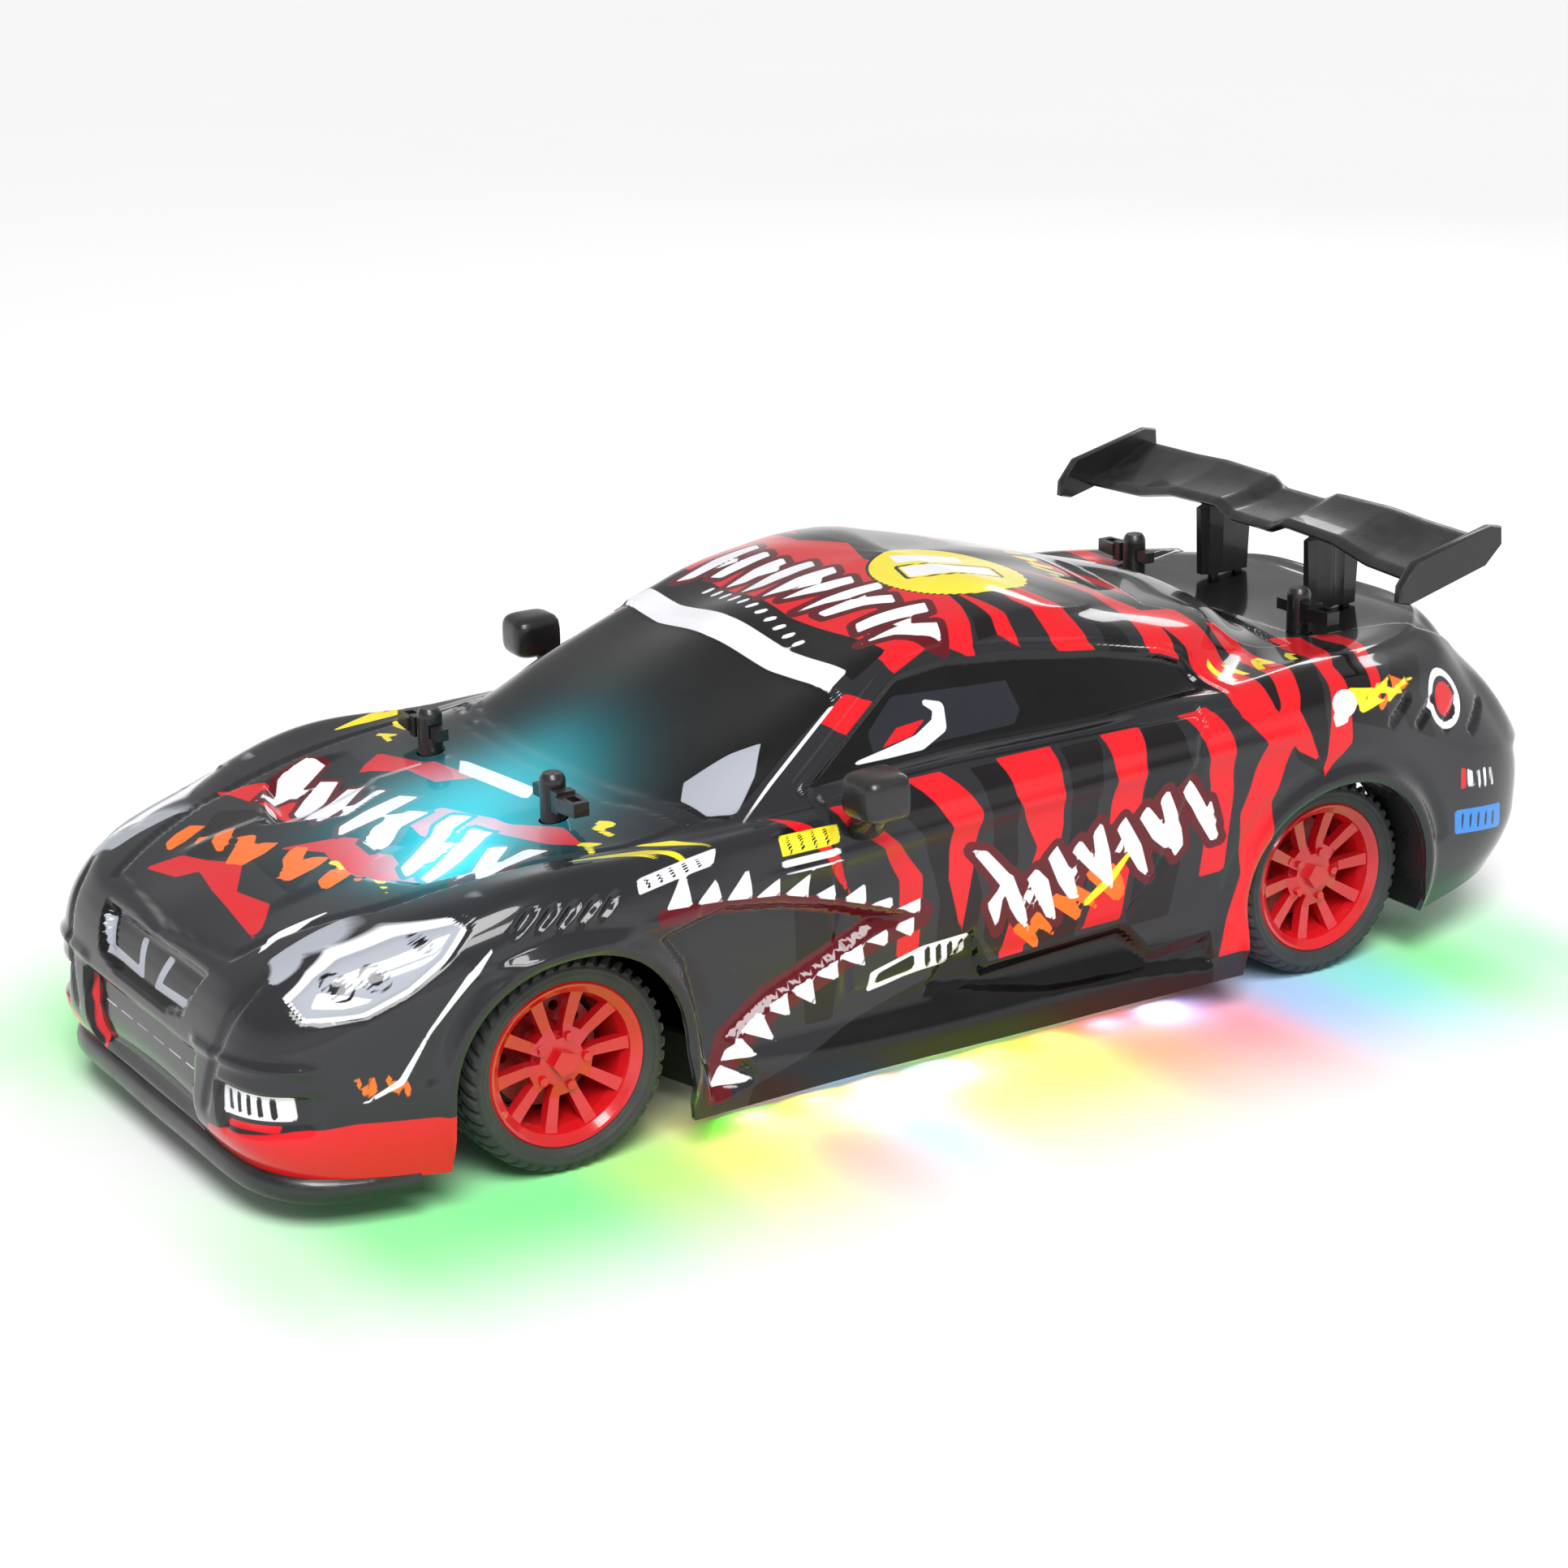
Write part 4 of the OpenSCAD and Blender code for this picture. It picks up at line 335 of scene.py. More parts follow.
# the layers of ink, each a list of (view that the shape is drawn in, shape)
paint = {
    "shade": [
        *outlines("wrap",
            [(49, 66), (36, 59), (32, 46), (36, 20), (43, 20), (45, 50)],
            [(25, 70), (13, 55), (9, 40), (10, 22), (0, 22), (-2, 40), (4, 56), (12, 70)],
            [(-1, 70), (-5, 52), (-3, 30), (-8, 24), (-11, 40), (-11, 60), (-8, 70)],
            [(-24, 70), (-25, 50), (-20, 33), (-15, 22), (-27, 22), (-31, 45), (-34, 70)],
            [(-45, 70), (-44, 50), (-41, 24), (-52, 24), (-57, 50), (-54, 70)],
            [(-70, 90), (-71, 66), (-78, 57), (-86, 64), (-92, 76), (-82, 96)],
            [(-86, 76), (-81, 64), (-84, 52), (-92, 46), (-92, 66), (-97, 84)],
            [(-100, 90), (-97, 72), (-99, 58), (-112, 54), (-108, 74), (-112, 92)],
            [(-120, 78), (-113, 66), (-118, 54), (-128, 50), (-124, 64), (-130, 76)]),
        *outlines("top",
            [(-12, 46), (-16, 10), (-19, 46)],
            [(-14, -46), (-17, -12), (-22, -46)],
            [(-46, 50), (-39, 20), (-54, 50)],
            [(-46, -50), (-42, -16), (-54, -50)],
            [(-64, 50), (-50, 10), (-78, 50)],
            [(-64, -50), (-52, -10), (-78, -50)],
            [(132, -34), (118, -20), (104, -30), (112, -8), (96, -4), (118, 4), (112, 26), (130, 12),
             (140, 22), (138, -6), (148, -16)])],
    "black": [
        ("side", polygon(*windowEdge)),
        ("top", mirrored(1, (69.4, 0), (68.4, 24), (65.5, 41), (61, 51.5), (56.5, 53.6), (44, 50.5),
                            (24.6, 45.6), (27.6, 23), (28.6, 0))),
        ("top", polygon((19.5, 44.3), (22.2, 23), (23, 0), (22.2, -23), (19.5, -44.3), (9.5, -42.4),
                        (13.5, -15), (14.4, 12), (9.5, 42.4))),
        ("top", mirrored(1, (-104, 0), (-108, 34), (-160, 62), (-175, 0))),
        ("top", mirrored(1, (-72, 0), (-66, 33), (-92, 37), (-103, 40), (-106, 20), (-107, 0))),
        ("front", mirrored(0, (27, 46.6), (22, 38), (13, 36.4))),
        ("front", mirrored(0, (30, 33), (27.5, 15))),
        ("side", polygon((0, 33.5), (-5, 24.5), (-41, 26.5), (-47, 20), (-63, 21), (-63, 6), (60, 6),
                         (58, 12), (30, 19.5), (10, 24.5), (1, 27)))],
    "red": [
        *outlines("wrap",
            [(35, 68), (32, 61.5), (23.5, 55), (19.5, 47), (19.7, 30.5), (14, 28.5), (13.6, 47),
             (19.5, 55), (25.5, 61), (29, 67.5)],
            [(50, 70), (43.6, 62), (39, 57), (31, 44), (35, 56), (41, 64)],
            [(15, 71), (6, 56), (7, 45), (3, 32), (1.2, 43), (-1.6, 58.5), (6, 71)],
            [(-8, 71), (-10.5, 60), (-16, 47), (-10, 33), (-7.5, 24), (-13, 23), (-17.5, 32), (-23, 51),
             (-22, 71)],
            [(-35, 71), (-36.5, 58), (-32.7, 36), (-29.5, 26), (-39.5, 26), (-40.5, 35), (-43.5, 52),
             (-45, 71)],
            [(-56, 72), (-60, 62), (-61.5, 51), (-59.5, 31), (-66, 31), (-67.5, 50), (-67.5, 61),
             (-63.5, 72)],
            [(-60, 106), (-69, 92), (-70.5, 66), (-76, 58), (-69.5, 43), (-70.5, 29), (-64, 10), (-78, 10),
             (-78, 44), (-84, 58), (-79, 66), (-80, 92), (-74, 106)],
            [(-81, 100), (-85, 84), (-80, 64), (-84, 54), (-90, 50), (-85, 64), (-91, 84), (-90, 100)],
            [(-103, 96), (-95.5, 77), (-93.5, 62), (-91, 46), (-99, 53), (-99.5, 75), (-110, 92)],
            [(-112, 92), (-108, 74), (-106, 63), (-109, 62), (-112, 74), (-117, 90)],
            [(22.4, 97), (15.4, 92), (23.3, 84), (30.2, 91)]),
        *outlines("top",
            [(15, -44), (17, -38), (18.5, -15), (20, 12), (13, 41), (10, 46), (-2, 44), (-10, 48),
             (-13, 38), (-16, 14), (-13, 0), (-18, -14), (-12, -26), (-14, -46)],
            [(-24, 24), (-25, 40), (-31, 49), (-42, 50), (-33, 36)],
            [(-24, -30), (-29, -49), (-41, -50), (-33, -34)],
            [(-42, 14), (-56, 40), (-57, 49), (-66, 49), (-62, 36)],
            [(-42, -14), (-55, -40), (-56, -49), (-65, -49), (-61, -36)],
            [(-50, 3), (-84, 27), (-86, 35), (-69, 33)],
            [(-50, -3), (-82, -27), (-84, -35), (-69, -33)],
            [(153, -24), (151, -12), (147, -9), (149, 2), (150, 12), (152, 29), (149, 27), (144, 20),
             (146, 8), (140, -2), (144, -12), (146, -20)],
            [(125, -33), (121, -24), (124, -14), (113, -18), (107, -12), (110, -26), (116, -38),
             (128, -44)],
            [(108, 8), (104, 20), (96, 24), (91, 40), (86, 46), (84, 34), (92, 22), (98, 6)],
            [(132, -2), (126, 8), (128, 20), (120, 30), (112, 42), (116, 24), (114, 14), (120, 4)],
            [(100, -30), (93, -22), (92, -8), (84, -4), (86, -20), (92, -36)]),
        *paired("top", polygon((-17, 46), (-15, 30), (-22, 48))),
        ("side", polygon((170, 8), (170, 19.5), (158, 22.5), (146, 23.6), (126, 22), (122, 8))),
        *paired("front", polygon((-64, 22), (-34, 19.5), (-30, 10), (-66, 8)))],
    "maroon": [
        ("side", stroke(*[(x, z - 0.6, 2.0) for x, z in upperLip])),
        ("side", stroke(*[(x - 0.6, z + 1.2, 3.6) for x, z in lowerLip])),
        *[("top", grown(s, 1.9)) for s in bladesRoof],
        *[("side", grown(s, 1.8)) for s in bladesDoor],
        *[("top", grown(s, 1.3)) for s in bladesBonnet]],
    "yellow": [
        ("top", roofDisc),
        ("side", stroke((-30, 33.5, 0.9), (-36, 38, 1.2), (-42, 45, 0.3))),
        *strokes("top",
            [(127, 14, 0.9), (123, 26, 1.3), (126, 37, 0.3)],
            [(78, 53, 0.3), (71, 56, 1.3), (65, 61, 0.3)]),
        ("side", polygon((49.3, 64.2), (34.5, 64), (34.2, 60), (48.8, 60))),
        *[("top", s) for s in shards((-74, 54), (-97, 52), 7, 5, 3)],
        *[("top", s) for s in shards((88, 52), (74, 40), 5, 4, 6)],
        *[("top", s) for s in shards((88, -40), (76, -50), 5, 4, 6)],
        *[("top", s) for s in shards((-54, 26), (-58, -4), 5, 5, 12)],
        *paired("top", stroke((94, 54, 0.3), (84, 57, 1.6), (78, 61.5, 0.3))),
        *paired("top", stroke((87, 55, 0.3), (78, 58, 1.5), (71, 63, 0.3))),
        *[("side", stroke((-97 - 3 * k, 68.5 + 1.6 * math.sin(k * 2.1), 1.9 - 0.22 * k),
                          (-104 - 3.2 * k, 69 + 2.1 * math.sin(k * 2.6), 0.2)))
          for k in range(7)]],
    "orange": [
        *[("top", s) for s in flashBonnet],
        *[("side", s) for s in flashDoor],
        *[("side", s) for s in flashNose],
        *[("side", stroke((-103 - 3 * k, 68 + 2.2 * math.sin(k * 1.7 + 1), 0.9),
                          (-112 - 2.4 * k, 69.5 + 2 * math.sin(k * 1.3), 0.15)))
          for k in range(5)]],
    "white": [
        ("top", mirrored(1, (22.3, 0), (21.4, 23), (18.9, 41.6), (24.8, 43.4), (27.6, 23), (28.6, 0))),
        *[("side", s) for s in teeth(upperLip, -8.4, 9, 0.3)],
        *[("side", s) for s in teeth(lowerLip, 7.5, 9, 0.35)],
        *[("top", s) for s in bladesRoof],
        *[("side", s) for s in bladesDoor],
        *[("top", s) for s in bladesBonnet],
        *outlines("side",
            [(26.2, 29), (13, 32.2), (1, 32.8), (0.4, 27.4), (13, 26.4), (26.8, 24.4)],
            [(152, 47.2), (146.5, 47), (140, 48), (144, 49), (150, 50)],
            [(-130.6, 63.6), (-136.6, 64.4), (-133.6, 58.6)],
            [(-98, 67), (-93.6, 66.6), (-94.4, 63.8), (-98, 64.4)],
            [(84.2, 62.6), (64, 64.6), (65.6, 61.6), (84.4, 59.8)]),
        *strokes("side",
            [(24, 73.4, 0.3), (16, 74.2, 0.9), (8, 75.2, 1.5), (2.4, 77.8, 1.7), (1.4, 81, 1.3),
             (4.2, 82.4, 0.6)],
            [(48.6, 58.4, 0.7), (35, 58.4, 0.7)],
            [(48.4, 56.2, 0.25), (34, 56.4, 0.25)],
            [(-138.5, 44.6, 0.4), (-138.8, 41, 0.4)],
            [(117, 55, 0.2), (122, 50, 0.8), (131, 40, 0.35), (137, 31, 0.7), (145, 27.5, 0.2)]),
        ("side", outlined(headlight, 0.42)),
        ("side", disc(-133.2, 62, 6.4, 6.4, 0.76)),
        ("side", disc(-97.5, 68.6, 3.6, 3.0)),
        ("front", polygon((40, 23.5), (56, 24.5), (55.5, 29.8), (39.8, 29.5))),
        *[("side", stroke((-139.6 - 2.4 * k, 44.2 - 0.3 * k, 0.5),
                          (-140.4 - 2.4 * k, 40.2 - 0.3 * k, 0.5)))
          for k in range(4)],
        *[("front", stroke((-23 + 8.4 * k, 26.6, 0.28), (-17 + 8.4 * k, 26.6, 0.28))) for k in range(6)],
        *[("top", stroke((17.6 + 0.09 * y, y, 0.75), (17.3 + 0.09 * y - 1.2, y + 0.6, 0.75)))
          for y in np.arange(-22, 23, 4.4)],
        ("top", polygon((81, -18), (78, 11), (82.4, 15), (85.4, -10))),
        # partly print, partly a painted highlight: the thin white line down the A-pillar
        ("wrap", stroke((26, 94.5, 0.45), (45, 78, 0.4), (54, 69.5, 0.25))),
        ("top", stroke((138, 34.5, 0.3), (150, 33.6, 1.5), (153.6, 35.5, 0.3)))],
    "silver": [
        ("side", headlight),
        ("side", stroke((156, 50.5, 0.3), (149, 55.6, 1.0), (138, 59.2, 1.1), (126, 62, 0.9),
                        (114, 63.6, 0.2))),
        # partly print, partly a painted reflection: the pale grey patch in the near corner of the windscreen
        ("top", polygon((62, 44), (59, 40), (49, 42), (42.6, 44.6), (47, 49.6), (54, 53.4), (59.8, 51))),
        *paired("front", polygon((-24.8, 45), (-22.4, 45.6), (-19, 40.2), (-6, 39.6), (-8.4, 45.4),
                                 (-5.6, 45.6), (-2.6, 37.6), (-20.4, 38.2)))],
    "smoke": [
        ("side", polygon((19.5, 78.6), (11.6, 84.6), (-16.5, 84), (-18, 78), (-15.8, 75.4), (2, 74.8),
                         (19.5, 73.2)))],
    "blue": [
        ("side", polygon((-134, 35.8), (-151.6, 33.6), (-152.4, 27.4), (-134.6, 29.8)))],
    "redTop": [
        *paired("front", stroke((28, 32, 0.5), (25.6, 13, 0.7))),
        ("side", disc(-133.2, 62, 3.7)),
        *outlines("side",
            [(17, 75.4), (9.5, 76.6), (5.2, 79.4), (12.5, 78.6)],
            [(-135.8, 45.8), (-137.6, 45.4), (-137.9, 40.4), (-136, 40.7)]),
        ("front", polygon((41, 21.2), (54, 22), (54, 23.4), (41, 22.6)))],
    "ink": [
        ("side", polygon((24.6, 28.2), (15, 30.8), (14.6, 27.4), (24.8, 25.8))),
        *[("side", stroke((11.6 - 2.9 * k, 31.2, 0.75), (11.2 - 2.9 * k, 27.6, 0.75))) for k in range(4)],
        *[("side", stroke((47.2 - 3.1 * k, 63.6, 0.5), (46.6 - 3.1 * k, 60.6, 0.5))) for k in range(4)],
        *[("front", stroke((42 + 2.6 * k, 28.6, 0.6), (42.4 + 2.6 * k, 25, 0.6))) for k in range(5)],
        *[("side", stroke((82 - 3.2 * k, 62.2 + 0.3 * k, 0.55), (81.4 - 3.2 * k, 60.8 + 0.3 * k, 0.55)))
          for k in range(5)],
        *[("side", stroke((-137 - 2.9 * k, 34 - 0.4 * k, 0.45), (-137.4 - 2.9 * k, 30.6 - 0.4 * k, 0.45)))
          for k in range(5)],
        ("top", outlined(roofDisc, 0.35)),
        ("top", outlined(grown(platePatch, 1.0), 0.45)),
        ("side", disc(146.6, 50.6, 3.0, 2.6, 0.8)),
        ("side", disc(139.6, 51.8, 3.0, 2.6, 0.8)),
        ("side", disc(129.6, 57.0, 2.3, 1.7, 0.76)),
        ("side", disc(146.6, 50.6, 1.4, 1.2)),
        ("side", disc(139.6, 51.8, 1.4, 1.2)),
        ("side", disc(129.6, 57, 1.0, 0.8))],
    "plate": [
        ("top", platePatch),
        ("top", polygon((-18, 2.6), (-16.6, 8), (-31.5, 12.5), (-33.5, 7)))]
}
print("paint drawn:", sum(len(v) for v in paint.values()), "shapes")


def viewOf(view, points, normals):
    # the two drawing axes of a view, and a distance that is negative where it applies
    x, y, z = points.T
    if view == "side":
        return x, z, 40 - np.abs(y)
    if view == "wrap":
        return x, z + 0.75 * (60 - np.abs(y)), np.full(x.shape, -far)
    if view == "top":
        return x, y, (0.3 - normals[:, 2]) * 12
    return y, z, 151 - x


def fieldOf(shapes, points, normals):
    # the nearest of the layer's shapes, each kept to its own view
    best = np.full(len(points), far)
    views = {}
    for view, shape in shapes:
        if view not in views:
            views[view] = viewOf(view, points, normals)
        u, v, outside = views[view]
        best = np.minimum(best, np.maximum(shape(u, v), outside))
    return np.clip(best, -far, far)


# ---- relief pressed into the shell, in mm along its normal ----
def seam(distance, half=0.35, deep=0.5):
    # a narrow groove where the distance is near nothing
    return -deep * (1 - ramp(np.abs(distance), half * 0.4, half * 1.6))


def step(distance, deep, soft=0.8):
    # everything inside the shape goes in by deep, over a soft wall
    return -deep * (1 - ramp(distance, -soft, 0))


sideWindow = polygon(*windowEdge)
windscreen = mirrored(1, (69.8, 0), (68.8, 24), (65.9, 41), (61, 52.2), (56.5, 54.4), (44, 51.6),
                         (23.2, 46.5), (26, 23), (27, 0))
rearWindow = mirrored(1, (-71, 0), (-66, 34), (-92, 38), (-104, 41), (-107, 20), (-108, 0))
doorEdge = polygon((36, 70), (35, 54), (33.5, 40), (32, 25), (-40, 27), (-48, 36), (-55, 52), (-61, 72))
bonnetEdge = mirrored(1, (160, 0), (157, 30), (150, 33), (132, 41), (110, 46), (80, 52), (64, 51),
                         (71, 30), (72, 0))
deckEdge = mirrored(1, (-110, 0), (-112, 38), (-140, 44), (-158, 44), (-160, 0))
ventPods = [polygon((128, 17), (114, 6), (104, 12), (98, 25), (96, 42), (108, 43), (119, 39)),
            polygon((128, -17), (114, -6), (104, -12), (98, -25), (96, -42), (108, -43), (119, -39))]
sideScoop = polygon((-1, 34), (-4, 23), (-40, 25.5), (-47, 19), (-63, 20.5), (-64, 12), (-44, 14.5),
                    (-20, 15.5), (14, 21))
notch = polygon((80, 50), (74, 42), (71.4, 30), (70, 22), (68, 10.5), (56, 13.5), (61.5, 22), (51, 28),
                (37, 33), (26, 38.5),
                (14, 39), (38, 47.5), (63, 53))
upperGrille = mirrored(0, (26, 47.4), (21.5, 37.8), (12.6, 36))
lowerGrille = mirrored(0, (29.5, 33), (27, 14.6))
cornerDuct = polygon((40, 20), (58, 22), (60, 30), (38, 30.5))
frontLouvres = [stroke((112 - 4.6 * k, 57.6, 1.1), (108.5 - 4.6 * k, 60.6, 1.1)) for k in range(5)]
rearLouvres = [stroke((-112 - 9.6 * k, 61.6 - 2.6 * k, 1.0), (-119 - 9.6 * k, 66 - 2.6 * k, 1.0))
               for k in range(4)]


# depths in mm, and half widths of the seams
pressing = {
    "window": 1.0, "screen": 0.8, "deck": 0.9, "pod": 3.2, "rise": 0.9, "notch": 2.6, "scoop": 2.0,
    "archLip": 1.1, "archDip": 0.7, "upperGrille": 2.2, "lowerGrille": 2.6, "duct": 1.6, "louvre": 1.0,
    "tailLip": 2.2, "tailPanel": 1.6, "plateRecess": 1.2, "tailSlot": 1.4, "seam": 0.6, "seamHalf": 0.75}


def relief(points, normals):
    # how far each point of the skin is pressed in or drawn out
    x, y, z = points.T
    side = np.abs(y)
    onSide = ramp(side, 40, 43)
    onTop = ramp(normals[:, 2], 0.25, 0.4)
    out = np.zeros(len(x))
    glass = sideWindow(x, z)
    out += onSide * (step(glass, pressing["window"], 1.2) + seam(glass - 1.8, 0.7, 0.4))
    out += onTop * step(windscreen(x, y), pressing["screen"], 1.4)
    out += onTop * step(rearWindow(x, y), pressing["screen"], 1.4)
    out += onSide * seam(doorEdge(x, z), pressing["seamHalf"], pressing["seam"])
    out += onTop * seam(bonnetEdge(x, y), 0.8, pressing["seam"])
    out += onTop * step(deckEdge(x, y), pressing["deck"], 1.2)
    for pod in ventPods:
        inside = np.clip(-pod(x, y), 0, far)
        # deepest at the pod's front edge, coming up to the bonnet at its rear one
        out += onTop * -pressing["pod"] * ramp(inside, 0, 2.2) * ramp(x, 94, 116)
    # a raised middle on the bonnet, and its two long creases
    middle = 1 - ramp(side, 20, 24)
    out += onTop * pressing["rise"] * middle * ramp(x, 78, 90) * (1 - ramp(x, 138, 150))
    out += onSide * step(notch(x, z), pressing["notch"], 1.6)
    out += onSide * step(sideScoop(x, z), pressing["scoop"], 1.6)
    # the shoulder line that runs from the front fender to the tail
    crease = 55.5 + 0.055 * (60 - x)
    inReach = ramp(x, -92, -80) * (1 - ramp(x, 44, 62))
    out += onSide * inReach * 0.7 * np.exp(-((z - crease) / 1.6)**2)
    out += onSide * inReach * -0.8 * np.exp(-((z - crease + 5.5) / 3.5)**2)
    # lips round the wheel arches
    for at, (ahead, radius) in ((frontAxle, shell["frontArch"]), (rearAxle, shell["rearArch"])):
        away = np.hypot(x - at - ahead, z - shell["archHeight"]) - radius
        out += onSide * pressing["archLip"] * np.exp(-((away - 1.6) / 1.3)**2) * (z > 10)
        out += onSide * -pressing["archDip"] * np.exp(-((away - 5.6) / 1.6)**2) * (z > 30)
    # the face of the car
    inFront = ramp(x, 150, 156)
    out += inFront * (step(upperGrille(y, z), pressing["upperGrille"], 1.2)
                      + step(lowerGrille(y, z), pressing["lowerGrille"], 1.2))
    for hand in (1, -1):
        out += inFront * step(cornerDuct(hand * y, z), pressing["duct"], 1.0)
    out += inFront * 0.9 * np.exp(-((z - 35) / 1.0)**2) * ramp(side, 26, 30)
    cornerLine = np.exp(-((side - 34.5 - 0.35 * (z - 24)) / 1.0)**2)
    out += inFront * -0.8 * cornerLine * ramp(z, 20, 24) * (1 - ramp(z, 48, 52))
    out += onSide * seam(headlight(x, z), 0.75, 0.5)
    fenderLine = np.exp(-((z - 52 + 0.06 * (x - 100)) / 1.2)**2)
    out += onSide * ramp(x, 60, 70) * 0.7 * fenderLine * (x > 70) * (x < 122)
    # louvres on the fenders
    for slot in frontLouvres + rearLouvres:
        out += onSide * step(slot(x, z), pressing["louvre"], 0.7)
    # the tail: a ducktail lip over a hollow panel with a plate recess
    atTail = ramp(-x, 146, 152)
    out += onTop * pressing["tailLip"] * ramp(-x, 146, 158) * (1 - ramp(side, 50, 60))
    facingBack = atTail * (1 - onTop)
    inTail = 1 - ramp(side, 52, 56)
    panel = (1 - ramp(np.abs(z - 57), 5, 7)) * inTail
    recess = (1 - ramp(np.abs(z - 38), 5, 6.5)) * (1 - ramp(side, 20, 22))
    lowSlot = (1 - ramp(np.abs(z - 29), 1.5, 2.6)) * ramp(side, 26, 28) * inTail
    out -= facingBack * (pressing["tailPanel"] * panel + pressing["plateRecess"] * recess
                         + pressing["tailSlot"] * lowSlot)
    return out


def openings(points):
    # negative where the shell is cut away: the wheel arches and the holes for the body posts
    x, y, z = points.T
    out = np.full(len(x), far)
    for at, (ahead, radius) in ((frontAxle, shell["frontArch"]), (rearAxle, shell["rearArch"])):
        below = np.clip(shell["archHeight"] - z, 0, 40)
        # under the centre the opening widens a little and runs out of the bottom edge
        away = np.where(z < shell["archHeight"], np.abs(x - at - ahead) - radius - 2 * below / 34,
                        np.hypot(x - at - ahead, z - shell["archHeight"]) - radius)
        out = np.minimum(out, np.maximum(away, shell["archInner"] - np.abs(y)))
    for px, py in (shell["frontPost"], shell["rearPost"]):
        away = np.hypot(x - px, np.abs(y) - py) - shell["postHole"]
        out = np.minimum(out, np.where(z > 55, away, far))
    return np.clip(out, -far, far)


def clipped(points, triangles, field):
    # keeps the positive side of each triangle, with new points where its edges cross nothing
    inside = field[triangles] > 0
    count = inside.sum(1)
    kept = [triangles[count == 3]]
    newPoints, newParents = [points], []
    base = len(points)

    def crossing(a, b):
        nonlocal base
        t = field[a] / (field[a] - field[b])
        newPoints.append(points[a] + t[:, None] * (points[b] - points[a]))
        newParents.append((a, b, t))
        ids = base + np.arange(len(a))
        base += len(a)
        return ids
    for number in (1, 2):
        some = triangles[count == number]
        flags = inside[count == number]
        # turn each triangle so that the odd corner is first
        odd = np.argmax(flags if number == 1 else ~flags, axis=1)
        turned = np.stack([some[np.arange(len(some)), (odd + k) % 3] for k in range(3)], 1)
        a, b, c = turned.T
        ab, ac = crossing(a, b), crossing(a, c)
        if number == 1:
            kept.append(np.stack([a, ab, ac], 1))
        else:
            kept.append(np.stack([ab, b, c], 1))
            kept.append(np.stack([ab, c, ac], 1))
    return np.concatenate(newPoints), np.concatenate(kept), newParents


def splitQuads(quads):
    return np.concatenate([quads[:, [0, 1, 2]], quads[:, [0, 2, 3]]])


def welded(points, triangles, extra):
    # joins equal points, as the clip makes one per edge side, and drops unused ones
    used = np.unique(triangles)
    keys = np.round(points[used], 4)
    _, first, back = np.unique(keys, axis=0, return_index=True, return_inverse=True)
    table = np.zeros(len(points), np.int64)
    table[used] = back.ravel()
    triangles = table[triangles]
    a, b, c = triangles.T
    solid = (a != b) & (b != c) & (a != c)
    return points[used][first], triangles[solid], {k: v[used][first] for k, v in extra.items()}


def carried(values, parents):
    # values at the crossing points, from the two ends of their edges
    parts = [values]
    for a, b, t in parents:
        shape = t[:, None] if values.ndim > 1 else t
        parts.append(values[a] + shape * (values[b] - values[a]))
    return np.concatenate(parts)


def boundaryEdges(triangles):
    # directed edges that only one triangle has
    edges = np.concatenate([triangles[:, [0, 1]], triangles[:, [1, 2]], triangles[:, [2, 0]]])
    low, high = edges.min(1), edges.max(1)
    _, back, count = np.unique(low * (triangles.max() + 1) + high, return_inverse=True, return_counts=True)
    return edges[count[back.ravel()] == 1]


rows, columns = shell["rows"], shell["columns"]
ringAt, turnAt = evenRings(rows), evenTurns(columns)
skin = shellPoints(ringAt, turnAt)
plain = gridNormals(skin)
flatPoints, flatNormals = skin.reshape(-1, 3), plain.reshape(-1, 3)
pressed = flatPoints + flatNormals * relief(flatPoints, flatNormals)[:, None]
skinNormals = gridNormals(pressed.reshape(rows, columns, 3)).reshape(-1, 3)
print("shell grid:", rows, "by", columns)
fields = {name: fieldOf(shapes, flatPoints, flatNormals) for name, shapes in paint.items()}
print("paint laid on")
quads = gridQuads(rows, columns)

topPoint = pressed[-columns:].mean(0)
pressed = np.vstack([pressed, topPoint])
skinNormals = np.vstack([skinNormals, [0, 0, 1]])
fields = {k: np.append(v, v[-columns:].mean()) for k, v in fields.items()}
cut = openings(np.vstack([flatPoints, topPoint]))
last = (rows - 1) * columns + np.arange(columns)
fan = np.stack([last, np.roll(last, -1), np.full(columns, rows * columns)], 1)
triangles = np.concatenate([splitQuads(quads), fan])
points, triangles, parents = clipped(pressed, triangles, cut)
extra = {"normal": carried(skinNormals, parents), **{k: carried(v, parents) for k, v in fields.items()}}
points, triangles, extra = welded(points, triangles, extra)
# painted light: a glow painted into the shell's emission, as soft pools where a lamp under the bonnet would
# light it: place, reach and strength
paintedBonnetGlow = ((108, 28, 62, 12, 1.0), (98, 12, 64, 20, 0.55), (82, 4, 67, 20, 0.3), (72, -6, 68, 16, 0.14))
extra["glow"] = sum(gain * np.exp(-np.sum((points - [a, b, c])**2, 1) / reach**2) for a, b, c, reach,
                    gain in paintedBonnetGlow)
print("outer skin:", len(points), "points,", len(triangles), "triangles")


def givePoints(piece, values):
    for name, column in values.items():
        layer = piece.data.attributes.new(name, "FLOAT", "POINT")
        layer.data.foreach_set("value", np.asarray(column, np.float32))


def partOf(name, chosen):
    used, back = np.unique(triangles[chosen], return_inverse=True)
    piece = putMesh(name, points[used], [back.reshape(-1, 3)])
    piece.data.normals_split_custom_set_from_vertices(extra["normal"][used])
    givePoints(piece, {k: v[used] for k, v in extra.items() if k != "normal"})
    return piece


middleX = points[triangles][:, :, 0].mean(1)
shellPieces = [partOf("shell_nose", middleX > 45), partOf("shell_cabin", (middleX <= 45) & (middleX > -55)),
               partOf("shell_tail", middleX <= -55)]

